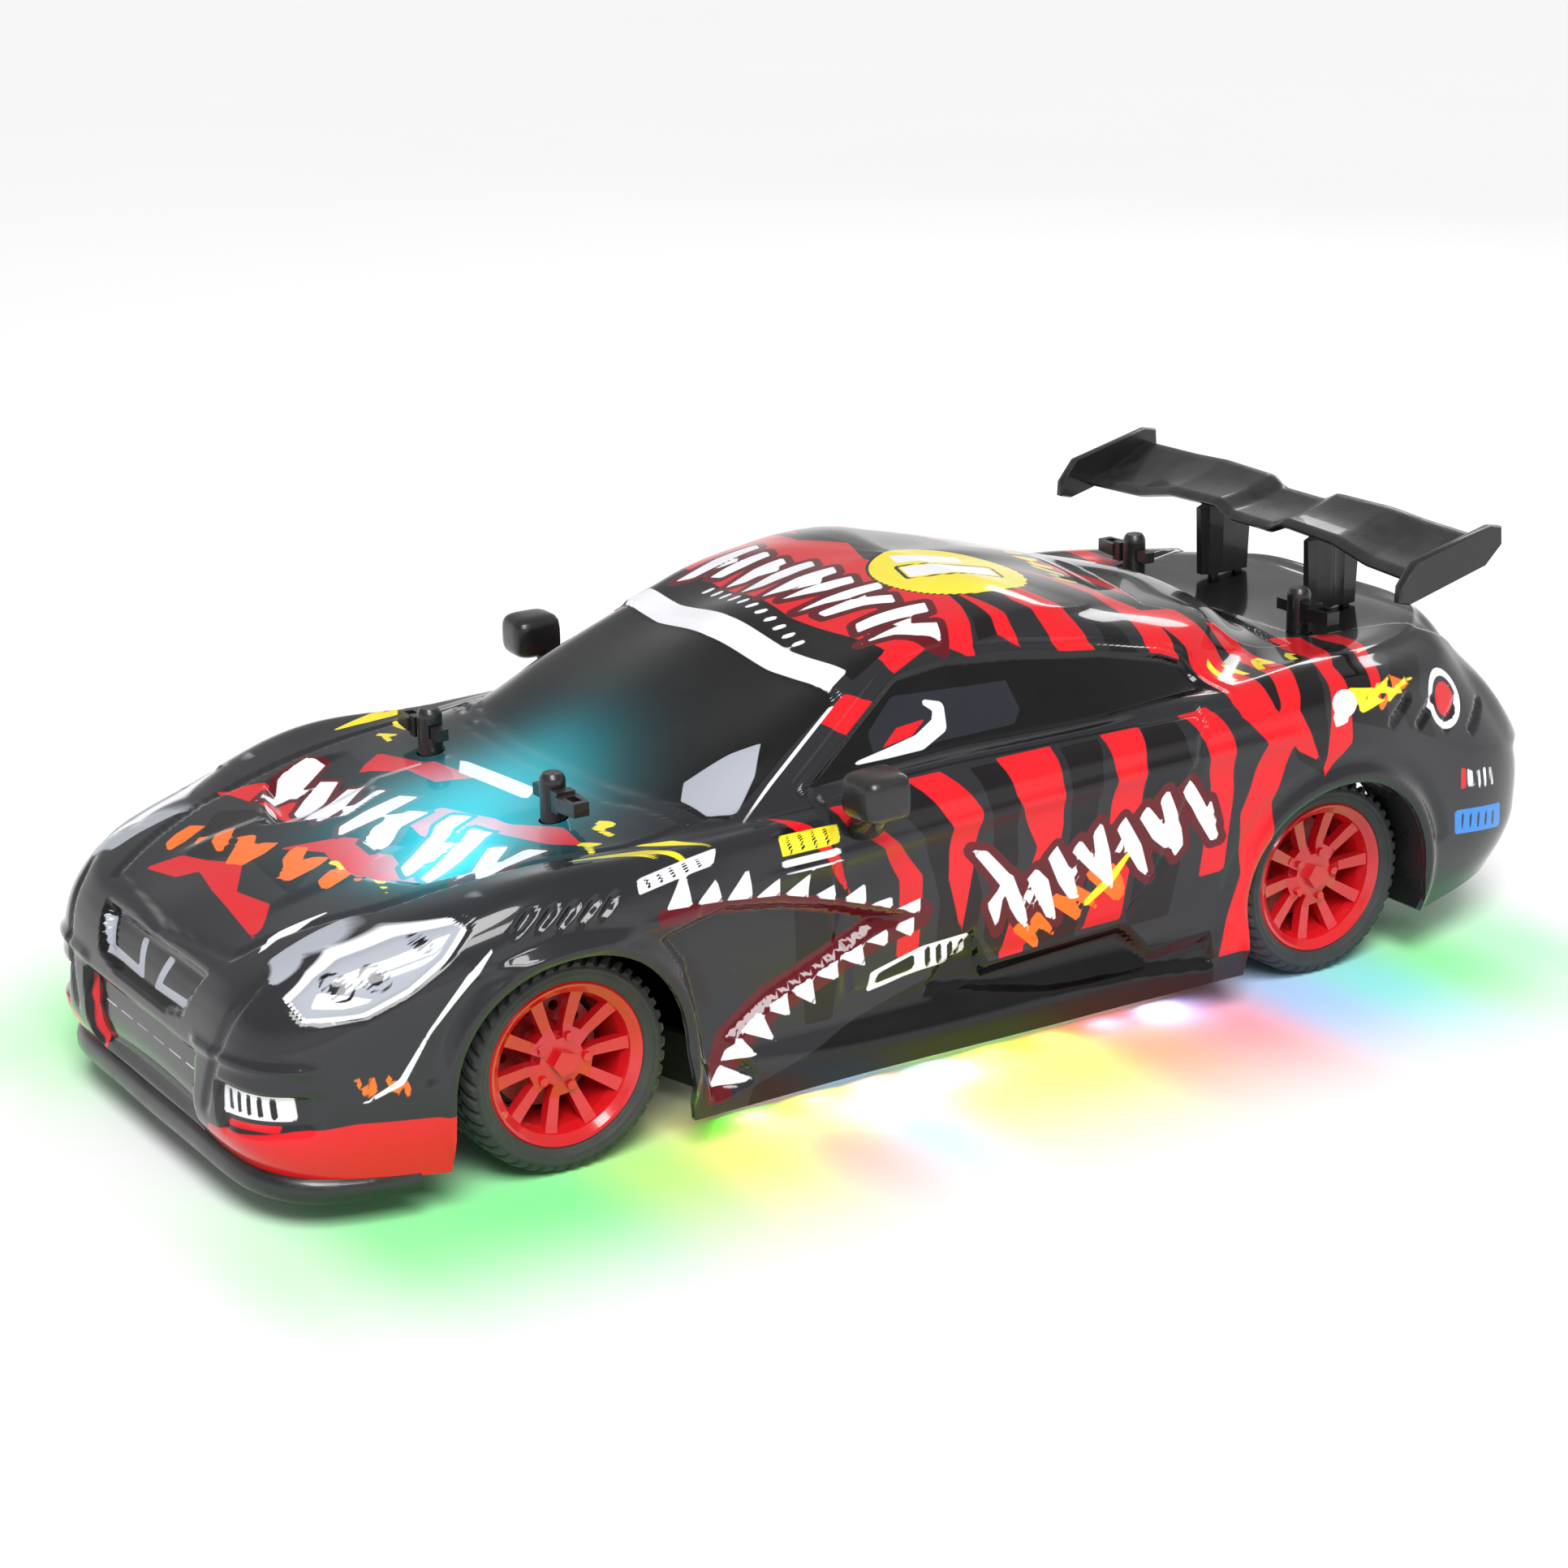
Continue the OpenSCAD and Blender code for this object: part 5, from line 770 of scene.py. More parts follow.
# the inner face is a coarser grid, one wall further in, with the cut edges closed by a strip
innerRows, innerColumns = rows // 2, columns // 2
inner = shellPoints(evenRings(innerRows), evenTurns(innerColumns))
innerNormals = gridNormals(inner).reshape(-1, 3)
innerFlat = inner.reshape(-1, 3)
innerPoints = innerFlat + innerNormals * (relief(innerFlat, innerNormals) - shell["wall"])[:, None]
innerTriangles = splitQuads(gridQuads(innerRows, innerColumns))[:, ::-1]
innerPoints, innerTriangles, _ = clipped(innerPoints, innerTriangles, openings(innerFlat))
innerPoints, innerTriangles, _ = welded(innerPoints, innerTriangles, {})
edges = boundaryEdges(triangles)
edgePoints, back = np.unique(edges, return_inverse=True)
back = back.reshape(-1, 2)
rim = points[edgePoints]
lip = np.vstack([rim, rim - extra["normal"][edgePoints] * shell["wall"]])
strip = np.stack([back[:, 1], back[:, 0], back[:, 0] + len(rim), back[:, 1] + len(rim)], 1)
# the rear arches have a dark return that goes straight in from their edge, a sheet standing in for the shade
# seen through the arch behind the tyre
onArch = (np.abs(openings(rim)) < 0.7) & (np.abs(rim[:, 0] - rearAxle) < 34) & (np.abs(rim[:, 1]) > 40)
turnedIn = rim - np.stack([np.zeros(len(rim)), np.sign(rim[:, 1]) * shell["archReturn"],
                           np.zeros(len(rim))], 1)
returns = back[onArch[back].all(1)]
shadeBand = np.stack([returns[:, 0], returns[:, 1], returns[:, 1] + len(rim), returns[:, 0] + len(rim)], 1)
shadeReturnPoints = np.vstack([rim - extra["normal"][edgePoints] * 0.3, turnedIn])
insidePoints = np.vstack([innerPoints, lip, shadeReturnPoints])
insideFaces = [innerTriangles, strip + len(innerPoints), shadeBand + len(innerPoints) + len(lip)]
shellPieces.append(putMesh("shell_inside", insidePoints, insideFaces))
for piece in shellPieces:
    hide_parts("body_shell")
    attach(piece, "chassis")

# ---- trim: the splitter lip, the wing and the mirrors ----
def dressed(name, pointGrid, node, closedRows=False):
    # a smooth piece from a grid whose columns close on themselves, its two ends capped by fans
    rows, columns = pointGrid.shape[:2]
    flat = pointGrid.reshape(-1, 3)
    polygons = [gridQuads(rows, columns)]
    ends = []
    for first, flip in ((0, True), ((rows - 1) * columns, False)):
        ids = first + np.arange(columns)
        fan = np.stack([ids, np.roll(ids, -1), np.full(columns, len(flat) + len(ends))], 1)
        polygons.append(fan[:, ::-1] if flip else fan)
        ends.append(flat[ids].mean(0))
    piece = putMesh(name, np.vstack([flat, ends]), polygons)
    piece.data.set_sharp_from_angle(angle=math.radians(38))
    if node:
        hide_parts(node)
    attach(piece, "chassis")
    return piece


# turn at its ends, in degrees, and its section as (outwards, up) from the bumper's foot
lipBar = {"turn": 50, "fade": 8, "lap": 0.7, "endShare": 0.35, "floor": 6.6, "tall": 5.3,
          "section": [(-7, 0), (-1.2, 0.2), (0.7, -0.3), (1.5, -1.2), (1.9, -2.6), (1.8, -4.4),
                      (1.2, -5.3), (-7, -5)]}


def makeLip():
    # a moulded bar that follows the foot of the bumper, its section swept round the nose
    turns = np.linspace(-lipBar["turn"], lipBar["turn"], 161)
    foot = shellPoints(np.array([0.0]), np.mod(turns, 360))[0]
    forward = np.gradient(foot[:, :2], axis=0)
    away = np.stack([forward[:, 1], -forward[:, 0]], 1) / np.linalg.norm(forward, axis=1, keepdims=True)
    # the section draws in towards its two ends, and thins where the bumper's foot comes near the ground
    grow = ramp(lipBar["turn"] - np.abs(turns), 0, lipBar["fade"])
    top = foot[:, 2] + lipBar["lap"]
    section = np.array(lipBar["section"])
    reach = section[:, 0][None, :] * (lipBar["endShare"] + (1 - lipBar["endShare"]) * grow[:, None])
    tall = np.minimum(1, (top[:, None] - lipBar["floor"]) / lipBar["tall"])
    z = top[:, None] + section[:, 1][None, :] * tall
    points = np.stack([foot[:, 0:1] + away[:, 0:1] * reach, foot[:, 1:2] + away[:, 1:2] * reach, z], -1)
    return dressed("splitter_lip", points, "front_splitter")


wing = {"halfSpan": 65.0, "frontX": -124.0, "rearX": -143.0, "thick": 2.4, "plateThick": 2.5, "camber": 1.0,
        "drop": 0.4, "round": 0.07, "softEdge": 0.5,
        # share of the half span, height of the front edge and of the rear edge
        "line": [(0, 93.3, 97.6), (0.12, 93.3, 97.6), (0.19, 95.4, 99.9), (0.47, 94.6, 100.3),
                 (0.66, 91.9, 99.6), (1, 90.8, 99.1)],
        "plate": [(-115, 88.4), (-115.2, 92), (-119.5, 97.2), (-142, 102.6), (-145.5, 102), (-145.8, 98),
                  (-141, 93.5), (-118, 87.6)]}


def makeWing():
    # a thin cambered section carried across the span, its height at both edges read from the stepped line
    y = np.linspace(-1, 1, 241) * (wing["halfSpan"] - wing["plateThick"] + 1.1)
    share = np.abs(y) / wing["halfSpan"]
    keys, front, rear = np.array(wing["line"]).T
    front, rear = np.interp(share, keys, front), np.interp(share, keys, rear)
    blend = np.array([1, 2, 3, 2, 1]) / 9
    front, rear = (np.convolve(np.pad(v, 2, mode="edge"), blend, "valid") for v in (front, rear))
    chord = np.linspace(0, 1, 15)
    half = wing["thick"] / 2 * np.minimum(1,
        np.sqrt(np.clip(np.minimum(chord, 1 - chord) / wing["round"], 0.05, 1)))
    camber = -wing["camber"] * np.sin(np.pi * chord)
    t = np.concatenate([chord, chord[::-1]])
    lift = np.concatenate([camber + half, (camber - half)[::-1]])
    x = wing["frontX"] + (wing["rearX"] - wing["frontX"]) * t
    z = front[:, None] + (rear - front)[:, None] * t + lift - wing["drop"]
    points = np.stack([np.broadcast_to(x, z.shape), np.broadcast_to(y[:, None], z.shape), z], -1)
    pieces = [dressed("wing_blade", points[:, ::-1], "rear_wing")]
    outline = np.array(wing["plate"], float)
    centre = outline.mean(0)
    for side in (1, -1):
        # the plate is its outline in four slices, the outer two drawn in for a soft edge
        thick, edge = wing["plateThick"], wing["softEdge"]
        depths = np.array([0, edge, thick - edge, thick]) + wing["halfSpan"] - thick
        inward = np.array([0.965, 1, 1, 0.965])
        slices = centre + (outline[None] - centre) * inward[:, None, None]
        points = np.stack([slices[..., 0], np.broadcast_to(side * depths[:, None], slices.shape[:2]),
                           slices[..., 1]], -1)
        pieces.append(dressed("wing_plate_" + ("left" if side > 0 else "right"),
                              points if side > 0 else points[:, ::-1], None))
    return pieces


mirror = {"x": 32.5, "y": 74.0, "z": 73.5, "half": (7.0, 6.0, 5.0), "stalkFoot": (29.5, 62.0, 62.5),
          "stalk": 2.2}


def makeMirror(side, node):
    # the head is a squared ellipsoid cut flat behind, the stalk a tapered tube along a parabola
    a, b = np.meshgrid(np.linspace(-math.pi / 2, math.pi / 2, 25),
                       np.linspace(-math.pi, math.pi, 48, endpoint=False), indexing="ij")

    def squared(value, power=0.5):
        return np.sign(value) * np.abs(value)**power
    x = mirror["half"][0] * squared(np.cos(a)) * squared(np.cos(b))
    y = mirror["half"][1] * squared(np.cos(a)) * squared(np.sin(b))
    z = mirror["half"][2] * squared(np.sin(a))
    x = np.maximum(x, -0.62 * mirror["half"][0]) * (1 - 0.12 * (y / mirror["half"][1] + 1) / 2)
    head = np.stack([mirror["x"] + x, side * (mirror["y"] + y), mirror["z"] + z], -1)
    t = np.linspace(0, 1, 17)[:, None]
    foot, tip = np.array(mirror["stalkFoot"]), np.array([mirror["x"] - 1, mirror["y"] - 1, mirror["z"] - 2])
    bend = np.array([foot[0], foot[1] + 8, foot[2] + 1])
    line = (1 - t)**2 * foot + 2 * t * (1 - t) * bend + t**2 * tip
    along = np.gradient(line, axis=0)
    along /= np.linalg.norm(along, axis=1, keepdims=True)
    first = np.cross(along, [1, 0, 0])
    first /= np.linalg.norm(first, axis=1, keepdims=True)
    second = np.cross(along, first)
    turn = np.linspace(0, 2 * math.pi, 20, endpoint=False)[None, :, None]
    radius = (mirror["stalk"] * (1.25 - 0.4 * t))[..., None]
    tube = line[:, None] + radius * (np.cos(turn) * first[:, None] + np.sin(turn) * second[:, None])
    tube = tube * [1, side, 1]
    handed = (lambda grid: grid) if side > 0 else (lambda grid: grid[:, ::-1])
    return [dressed(node + "_head", handed(head), node), dressed(node + "_stalk", handed(tube), None)]


trimPieces = [makeLip()] + makeWing() + makeMirror(1, "mirror_left") + makeMirror(-1, "mirror_right")
print("trim made:", len(trimPieces), "pieces")

# ---- tyres ----
tyreShape = {"blocks": 44, "sipe": 0.55, "grooveDepth": 0.9, "around": 880, "rib": 0.12,
             "wallHeight": 5.55, "shoulder": 0.5,
             "crown": 1.4, "barrel": 0.25, "bulge": 0.6, "tuck": 0.9, "ringsInWall": 22, "blockLean": 0.035,
             "centreGroove": 0.35, "sideGroove": 0.62}


def makeTyre(node, rideOn):
    # a profile turned round the axle, its tread lowered between the blocks
    low, high = (np.array(corner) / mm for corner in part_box(node))
    centre = (low + high) / 2
    radius, half = (high[2] - low[2]) / 2, (high[1] - low[1]) / 2
    wall = radius - tyreShape["wallHeight"]
    across = np.linspace(-1, 1, 61) * (half - tyreShape["shoulder"])
    share = np.abs(across / half)
    shoulder = radius - tyreShape["crown"] * share**10 - tyreShape["barrel"] * share**4
    side = np.linspace(0, 1, 16)[1:]
    # the side wall leans out in the middle, tucks in at the rim and has raised rings
    sideR = shoulder[-1] + (wall - 0.2 - shoulder[-1]) * side
    sideY = half - tyreShape["shoulder"] + tyreShape["bulge"] * np.sin(np.pi * side)**0.7
    sideY += tyreShape["rib"] * np.sin(side * tyreShape["ringsInWall"]) - tyreShape["tuck"] * side**3
    profileY = np.concatenate([-sideY[::-1], across, sideY])
    profileR = np.concatenate([sideR[::-1], shoulder, sideR])
    turn = np.linspace(0, 2 * np.pi, tyreShape["around"], endpoint=False)
    y, t = np.meshgrid(profileY, turn, indexing="ij")
    r = np.broadcast_to(profileR[:, None], y.shape).copy()
    tread = ramp(r, radius - 2.6, radius - 0.9)
    # blocks lean one way on each half and are split by a centre groove and a ring groove
    pitch = 2 * np.pi / tyreShape["blocks"]
    lean = tyreShape["blockLean"] * np.abs(y) + np.where(y > 0, 0.5 * pitch, 0)
    phase = np.abs(((t + lean) / pitch) % 1 - 0.5) * pitch * radius
    gaps = ramp(phase, tyreShape["sipe"], tyreShape["sipe"] + 0.4)
    rings = np.minimum(ramp(np.abs(y), tyreShape["centreGroove"], 0.75),
                       ramp(np.abs(np.abs(y) - half * tyreShape["sideGroove"]), 0.3, 0.65))
    r -= tyreShape["grooveDepth"] * tread * (1 - np.minimum(gaps, rings))
    points = np.stack([centre[0] + r * np.cos(t), centre[1] + y, centre[2] + r * np.sin(t)], -1)
    quads = gridQuads(len(profileY), tyreShape["around"])
    piece = putMesh(node + "_rubber", points.reshape(-1, 3), [quads[:, ::-1]])
    givePoints(piece, {"treadDepth": ((radius - r) * tread).ravel(), "sideRadius": r.ravel()})
    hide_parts(node)
    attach(piece, rideOn)
    return piece


tyrePieces = [makeTyre("tyre_front_left", "front_wheel_left"),
              makeTyre("tyre_front_right", "front_wheel_right"),
              makeTyre("tyre_rear_left", "rear_drive"), makeTyre("tyre_rear_right", "rear_drive")]
print("tyres made")


# ---- shader parts ----
def addNode(tree, kind, inputs=None, **settings):
    node = tree.nodes.new(kind)
    for key, value in settings.items():
        setattr(node, key, value)
    for key, value in (inputs or {}).items():
        if isinstance(value, bpy.types.NodeSocket):
            tree.links.new(value, node.inputs[key])
        else:
            node.inputs[key].default_value = value
    return node


def mixed(tree, factor, first, second):
    node = addNode(tree, "ShaderNodeMix", data_type="RGBA")
    for index, value in ((0, factor), (6, first), (7, second)):
        if isinstance(value, bpy.types.NodeSocket):
            tree.links.new(value, node.inputs[index])
        else:
            node.inputs[index].default_value = (*value, 1) if isinstance(value, tuple) else value
    return node.outputs[2]


def spread(tree, value, low, high, start, end):
    node = addNode(tree, "ShaderNodeMapRange", {0: value, 1: low, 2: high, 3: start, 4: end})
    return node.outputs[0]


def calculate(tree, kind, first, second=0.0):
    return addNode(tree, "ShaderNodeMath", {0: first, 1: second}, operation=kind).outputs[0]


def makeGroup(name, inputs, outputs):
    group = bpy.data.node_groups.new(name, "ShaderNodeTree")
    for label, kind, value in inputs:
        socket = group.interface.new_socket(label, in_out="INPUT", socket_type=kind)
        socket.default_value = value
    for label, kind in outputs:
        group.interface.new_socket(label, in_out="OUTPUT", socket_type=kind)
    return group, group.nodes.new("NodeGroupInput"), group.nodes.new("NodeGroupOutput")


def usePart(tree, group, **inputs):
    node = addNode(tree, "ShaderNodeGroup")
    node.node_tree = group
    for key, value in inputs.items():
        socket = node.inputs[key]
        if isinstance(value, bpy.types.NodeSocket):
            tree.links.new(value, socket)
        else:
            socket.default_value = (*value, 1) if isinstance(value, tuple) else value
    return node


colour, number = "NodeSocketColor", "NodeSocketFloat"

# fine cloudy variation between two values
mottle, inside, outside = makeGroup("mottle",
                                    [("size", number, 300.0), ("low", number, 0.0), ("high", number, 1.0)],
                                    [("value", number)])
coordinates = addNode(mottle, "ShaderNodeTexCoord")
cloud = addNode(mottle, "ShaderNodeTexNoise",
                {"Vector": coordinates.outputs["Object"], "Scale": inside.outputs["size"],
                 "Detail": 4.0, "Roughness": 0.6})
cloudRange = addNode(mottle, "ShaderNodeMapRange",
                     {0: cloud.outputs[0], 1: 0.32, 2: 0.68, 3: inside.outputs["low"],
                      4: inside.outputs["high"]})
mottle.links.new(cloudRange.outputs[0], outside.inputs["value"])

# moulded grain: small round cells over a softer unevenness
grain, inside, outside = makeGroup("grain", [("size", number, 1400.0)], [("height", number)])
coordinates = addNode(grain, "ShaderNodeTexCoord")
cells = addNode(grain, "ShaderNodeTexVoronoi",
                {"Vector": coordinates.outputs["Object"], "Scale": inside.outputs["size"]},
                feature="SMOOTH_F1")
softer = addNode(grain, "ShaderNodeTexNoise",
                 {"Vector": coordinates.outputs["Object"], "Scale": 220.0, "Detail": 3.0})
summed = calculate(grain, "ADD", cells.outputs[0], softer.outputs[0])
grain.links.new(summed, outside.inputs["height"])

# dust that settles on faces that look up, in patches
dust, inside, outside = makeGroup("dust",
                                  [("base", colour, (0, 0, 0, 1)), ("dust", colour, (0.3, 0.28, 0.25, 1)),
                                           ("amount", number, 0.1)], [("colour", colour)])
coordinates = addNode(dust, "ShaderNodeTexCoord")
facing = addNode(dust, "ShaderNodeSeparateXYZ", {0: coordinates.outputs["Normal"]})
patches = addNode(dust, "ShaderNodeTexNoise",
                  {"Vector": coordinates.outputs["Object"], "Scale": 60.0, "Detail": 6.0,
                                               "Roughness": 0.7})
upward = addNode(dust, "ShaderNodeMapRange", {0: facing.outputs[2], 1: -0.2, 2: 1.0})
patchy = addNode(dust, "ShaderNodeMapRange", {0: patches.outputs[0], 1: 0.4, 2: 0.75})
lying = calculate(dust, "MULTIPLY", upward.outputs[0], patchy.outputs[0])
strength = calculate(dust, "MULTIPLY", lying, inside.outputs["amount"])
dust.links.new(mixed(dust, strength, inside.outputs["base"], inside.outputs["dust"]),
               outside.inputs["colour"])


def newMaterial(name):
    material = bpy.data.materials.new(name)
    material.use_nodes = True
    tree = material.node_tree
    tree.nodes.clear()
    surface = tree.nodes.new("ShaderNodeBsdfPrincipled")
    output = tree.nodes.new("ShaderNodeOutputMaterial")
    tree.links.new(surface.outputs[0], output.inputs[0])
    return material, tree, surface


def setSurface(tree, surface, **inputs):
    names = {"baseColor": "Base Color", "roughness": "Roughness", "metallic": "Metallic", "normal": "Normal",
             "coat": "Coat Weight", "coatRoughness": "Coat Roughness", "sheen": "Sheen Weight",
             "emission": "Emission Color", "emissionStrength": "Emission Strength",
             "specular": "Specular IOR Level"}
    for key, value in inputs.items():
        socket = surface.inputs[names[key]]
        if isinstance(value, bpy.types.NodeSocket):
            tree.links.new(value, socket)
        else:
            socket.default_value = (*value, 1) if isinstance(value, tuple) else value


def bumped(tree, height, depth, strength=1.0):
    return addNode(tree, "ShaderNodeBump",
                   {"Height": height, "Distance": depth, "Strength": strength}).outputs[0]


def plastic(name, base, rough, grainSize=1400.0, depth=0.00004, dustAmount=0.12, coat=0.0, change=0.08):
    material, tree, surface = newMaterial(name)
    uneven = usePart(tree, mottle, size=120.0, low=rough - change, high=rough + change)
    tone = usePart(tree, mottle, size=40.0, low=0.0, high=0.35)
    lighter = tuple(min(1.0, c * 1.6 + 0.003) for c in base)
    toned = mixed(tree, tone.outputs[0], base, lighter)
    dusty = usePart(tree, dust, base=toned, amount=dustAmount)
    rough = usePart(tree, grain, size=grainSize)
    setSurface(tree, surface, baseColor=dusty.outputs[0], roughness=uneven.outputs[0], coat=coat,
               normal=bumped(tree, rough.outputs[0], depth))
    return material


def metal(name, base, rough, along=(1, 30, 1)):
    # turned metal: noise drawn out along one axis
    material, tree, surface = newMaterial(name)
    coordinates = addNode(tree, "ShaderNodeTexCoord")
    drawn = addNode(tree, "ShaderNodeMapping", {"Vector": coordinates.outputs["Object"], "Scale": along})
    lines = addNode(tree, "ShaderNodeTexNoise", {"Vector": drawn.outputs[0], "Scale": 400.0, "Detail": 3.0})
    tone = usePart(tree, mottle, size=80.0, low=0.0, high=0.5)
    setSurface(tree, surface, metallic=1.0,
               baseColor=mixed(tree, tone.outputs[0], base, tuple(c * 0.72 for c in base)),
               roughness=spread(tree, lines.outputs[0], 0.3, 0.7, rough - 0.1, rough + 0.14),
               normal=bumped(tree, lines.outputs[0], 0.000012))
    return material


# ---- the painted shell ----
inks = [("shade", (0.0052, 0.0038, 0.0045)), ("red", (0.66, 0.008, 0.014)),
        ("black", (0.0022, 0.0022, 0.0025)),
        ("smoke", (0.016, 0.018, 0.024)), ("maroon", (0.10, 0.002, 0.006)), ("orange", (0.95, 0.16, 0.008)),
        ("yellow", (0.88, 0.74, 0.02)), ("silver", (0.36, 0.38, 0.43)), ("white", (0.86, 0.86, 0.9)),
        ("blue", (0.03, 0.24, 0.72)), ("plate", (0.86, 0.86, 0.9)), ("redTop", (0.66, 0.008, 0.014)),
        ("ink", (0.003, 0.003, 0.0035))]
charcoal = (0.0155, 0.0158, 0.0182)


def paintedShell():
    material, tree, surface = newMaterial("shellPaint")
    tone = usePart(tree, mottle, size=14.0, low=0.0, high=1.0)
    painted = mixed(tree, tone.outputs[0], charcoal, tuple(c * 1.35 for c in charcoal))
    for name, shade in inks:
        layer = addNode(tree, "ShaderNodeAttribute", attribute_name=name)
        # the printed edge fades over two tenths of a millimetre
        cover = spread(tree, layer.outputs["Fac"], -0.1, 0.1, 1.0, 0.0)
        painted = mixed(tree, cover, painted, shade)
    dusty = usePart(tree, dust, base=painted, dust=(0.2, 0.2, 0.2), amount=0.025)
    # painted light: the paint itself emits cyan in the pools of the glow attribute, standing in for a lamp
    # under the bonnet
    glow = addNode(tree, "ShaderNodeAttribute", attribute_name="glow")
    lit = mixed(tree, glow.outputs["Fac"], (0.0, 0.0, 0.0), (0.02, 0.62, 0.75))
    ripple = usePart(tree, mottle, size=70.0, low=0.0, high=1.0)
    uneven = usePart(tree, mottle, size=35.0, low=0.17, high=0.28)
    setSurface(tree, surface, baseColor=dusty.outputs[0], roughness=uneven.outputs[0], coat=0.75,
               coatRoughness=0.05, specular=0.08,
               emission=lit, emissionStrength=1.6, normal=bumped(tree, ripple.outputs[0], 0.00002))
    return material


def rubber(name):
    material, tree, surface = newMaterial(name)
    depth = addNode(tree, "ShaderNodeAttribute", attribute_name="treadDepth")
    tone = usePart(tree, mottle, size=260.0, low=0.0, high=1.0)
    base = mixed(tree, tone.outputs[0], (0.013, 0.013, 0.014), (0.026, 0.026, 0.027))
    # the tread grooves stay darker than the tread tops and the side walls
    darkerInGrooves = mixed(tree, spread(tree, depth.outputs["Fac"], 0.0, 0.35, 0.35, 0.0), base,
                 (0.045, 0.044, 0.043))
    dusty = usePart(tree, dust, base=darkerInGrooves, dust=(0.22, 0.21, 0.2), amount=0.1)
    rough = usePart(tree, grain, size=2200.0)
    uneven = usePart(tree, mottle, size=90.0, low=0.58, high=0.78)
    setSurface(tree, surface, baseColor=dusty.outputs[0], roughness=uneven.outputs[0], sheen=0.1,
               normal=bumped(tree, rough.outputs[0], 0.00005))
    return material


def lamp(name, base, strength):
    material, tree, surface = newMaterial(name)
    facets = addNode(tree, "ShaderNodeTexVoronoi",
                     {"Scale": 500.0, "Vector": addNode(tree, "ShaderNodeTexCoord").outputs["Object"]})
    setSurface(tree, surface, baseColor=mixed(tree, facets.outputs[0], base, (0.9, 0.97, 1.0)),
               roughness=0.12,
               emission=mixed(tree, facets.outputs[0], base, (1.0, 1.0, 1.0)), emissionStrength=strength,
               normal=bumped(tree, facets.outputs[0], 0.00006))
    return material


def board(name):
    # solder mask with paler tracks
    material, tree, surface = newMaterial(name)
    coordinates = addNode(tree, "ShaderNodeTexCoord")
    tracks = addNode(tree, "ShaderNodeTexBrick",
                     {"Vector": coordinates.outputs["Object"], "Scale": 260.0, "Mortar Size": 0.03,
                      "Color1": (0.008, 0.11, 0.035, 1), "Color2": (0.006, 0.09, 0.03, 1),
                      "Mortar": (0.03, 0.22, 0.08, 1)})
    uneven = usePart(tree, mottle, size=150.0, low=0.2, high=0.34)
    setSurface(tree, surface, baseColor=tracks.outputs[0], roughness=uneven.outputs[0], coat=0.5,
               normal=bumped(tree, tracks.outputs[1], 0.00004))
    return material


slotMaterials = {
    "trim_black": plastic("trimBlack", (0.0065, 0.0065, 0.007), 0.34, 1500.0, 0.00002, 0.1, 0.25),
    "chassis_plastic": plastic("chassisPlastic", (0.011, 0.011, 0.012), 0.52, 1100.0, 0.00006, 0.25),
    "battery_wrap": plastic("batteryWrap", (0.012, 0.06, 0.32), 0.28, 300.0, 0.00003, 0.1, 0.3),
    "motor_can": metal("motorCan", (0.56, 0.57, 0.59), 0.3, (30, 1, 1)),
    "steel": metal("steel", (0.62, 0.63, 0.65), 0.26),
    "brass": metal("brass", (0.72, 0.5, 0.2), 0.3),
    "gear_plastic": plastic("gearPlastic", (0.74, 0.71, 0.62), 0.4, 900.0, 0.00003, 0.1),
    "board_green": board("boardGreen"),
    "lamp_lens": lamp("lampLens", (0.5, 0.85, 0.95), 1.2),
    "rim_red": plastic("rimRed", (0.52, 0.005, 0.009), 0.2, 500.0, 0.00001, 0.03, 0.6, 0.04),
    "disc_red": plastic("discRed", (0.34, 0.006, 0.008), 0.35, 900.0, 0.00002, 0.06, 0.2),
    "tyre_rubber": rubber("tyreRubber"),
    "lead_wire": plastic("leadWire", (0.45, 0.01, 0.012), 0.35, 900.0, 0.00002, 0.05, 0.2),
    "shell_paint": paintedShell(),
}
insideMaterial = plastic("shellInside", (0.012, 0.012, 0.013), 0.3, 600.0, 0.00002, 0.02, 0.4)
for piece in shellPieces:
    hidden = piece.name == "shell_inside"
    piece.data.materials.append(insideMaterial if hidden else slotMaterials["shell_paint"])
for piece in tyrePieces:
    piece.data.materials.append(slotMaterials["tyre_rubber"])
for piece in trimPieces:
    piece.data.materials.append(slotMaterials["trim_black"])
slotOf = {entry["node"]: entry["material_slot"] for entry in frame["record"]["subparts"]}
for name, node in nodes.items():
    for index in range(len(node.material_slots)):
        node.material_slots[index].material = slotMaterials[slotOf[name]]
print("materials made")

# ---- floor, light and camera ----
stage = {"floorHalf": 4.0, "skyDips": (0.08, 0.3), "world": 0.4, "floorGrey": 0.9, "glowWide": 0.036,
         "glowOut": 0.068,
         "glowShare": 0.85}
floorMesh = bpy.data.meshes.new("floor")
h = stage["floorHalf"]
floorMesh.from_pydata([(-h, -h, 0), (h, -h, 0), (h, h, 0), (-h, h, 0)], [], [(0, 1, 2, 3)])
floor = bpy.data.objects.new("floor", floorMesh)
bpy.context.scene.collection.objects.link(floor)
floorMaterial, tree, surface = newMaterial("floorPaper")
paper = usePart(tree, mottle, size=3.0, low=0.0, high=0.04)
paperTone = mixed(tree, paper.outputs[0], (stage["floorGrey"],) * 3, (0.7, 0.7, 0.7))
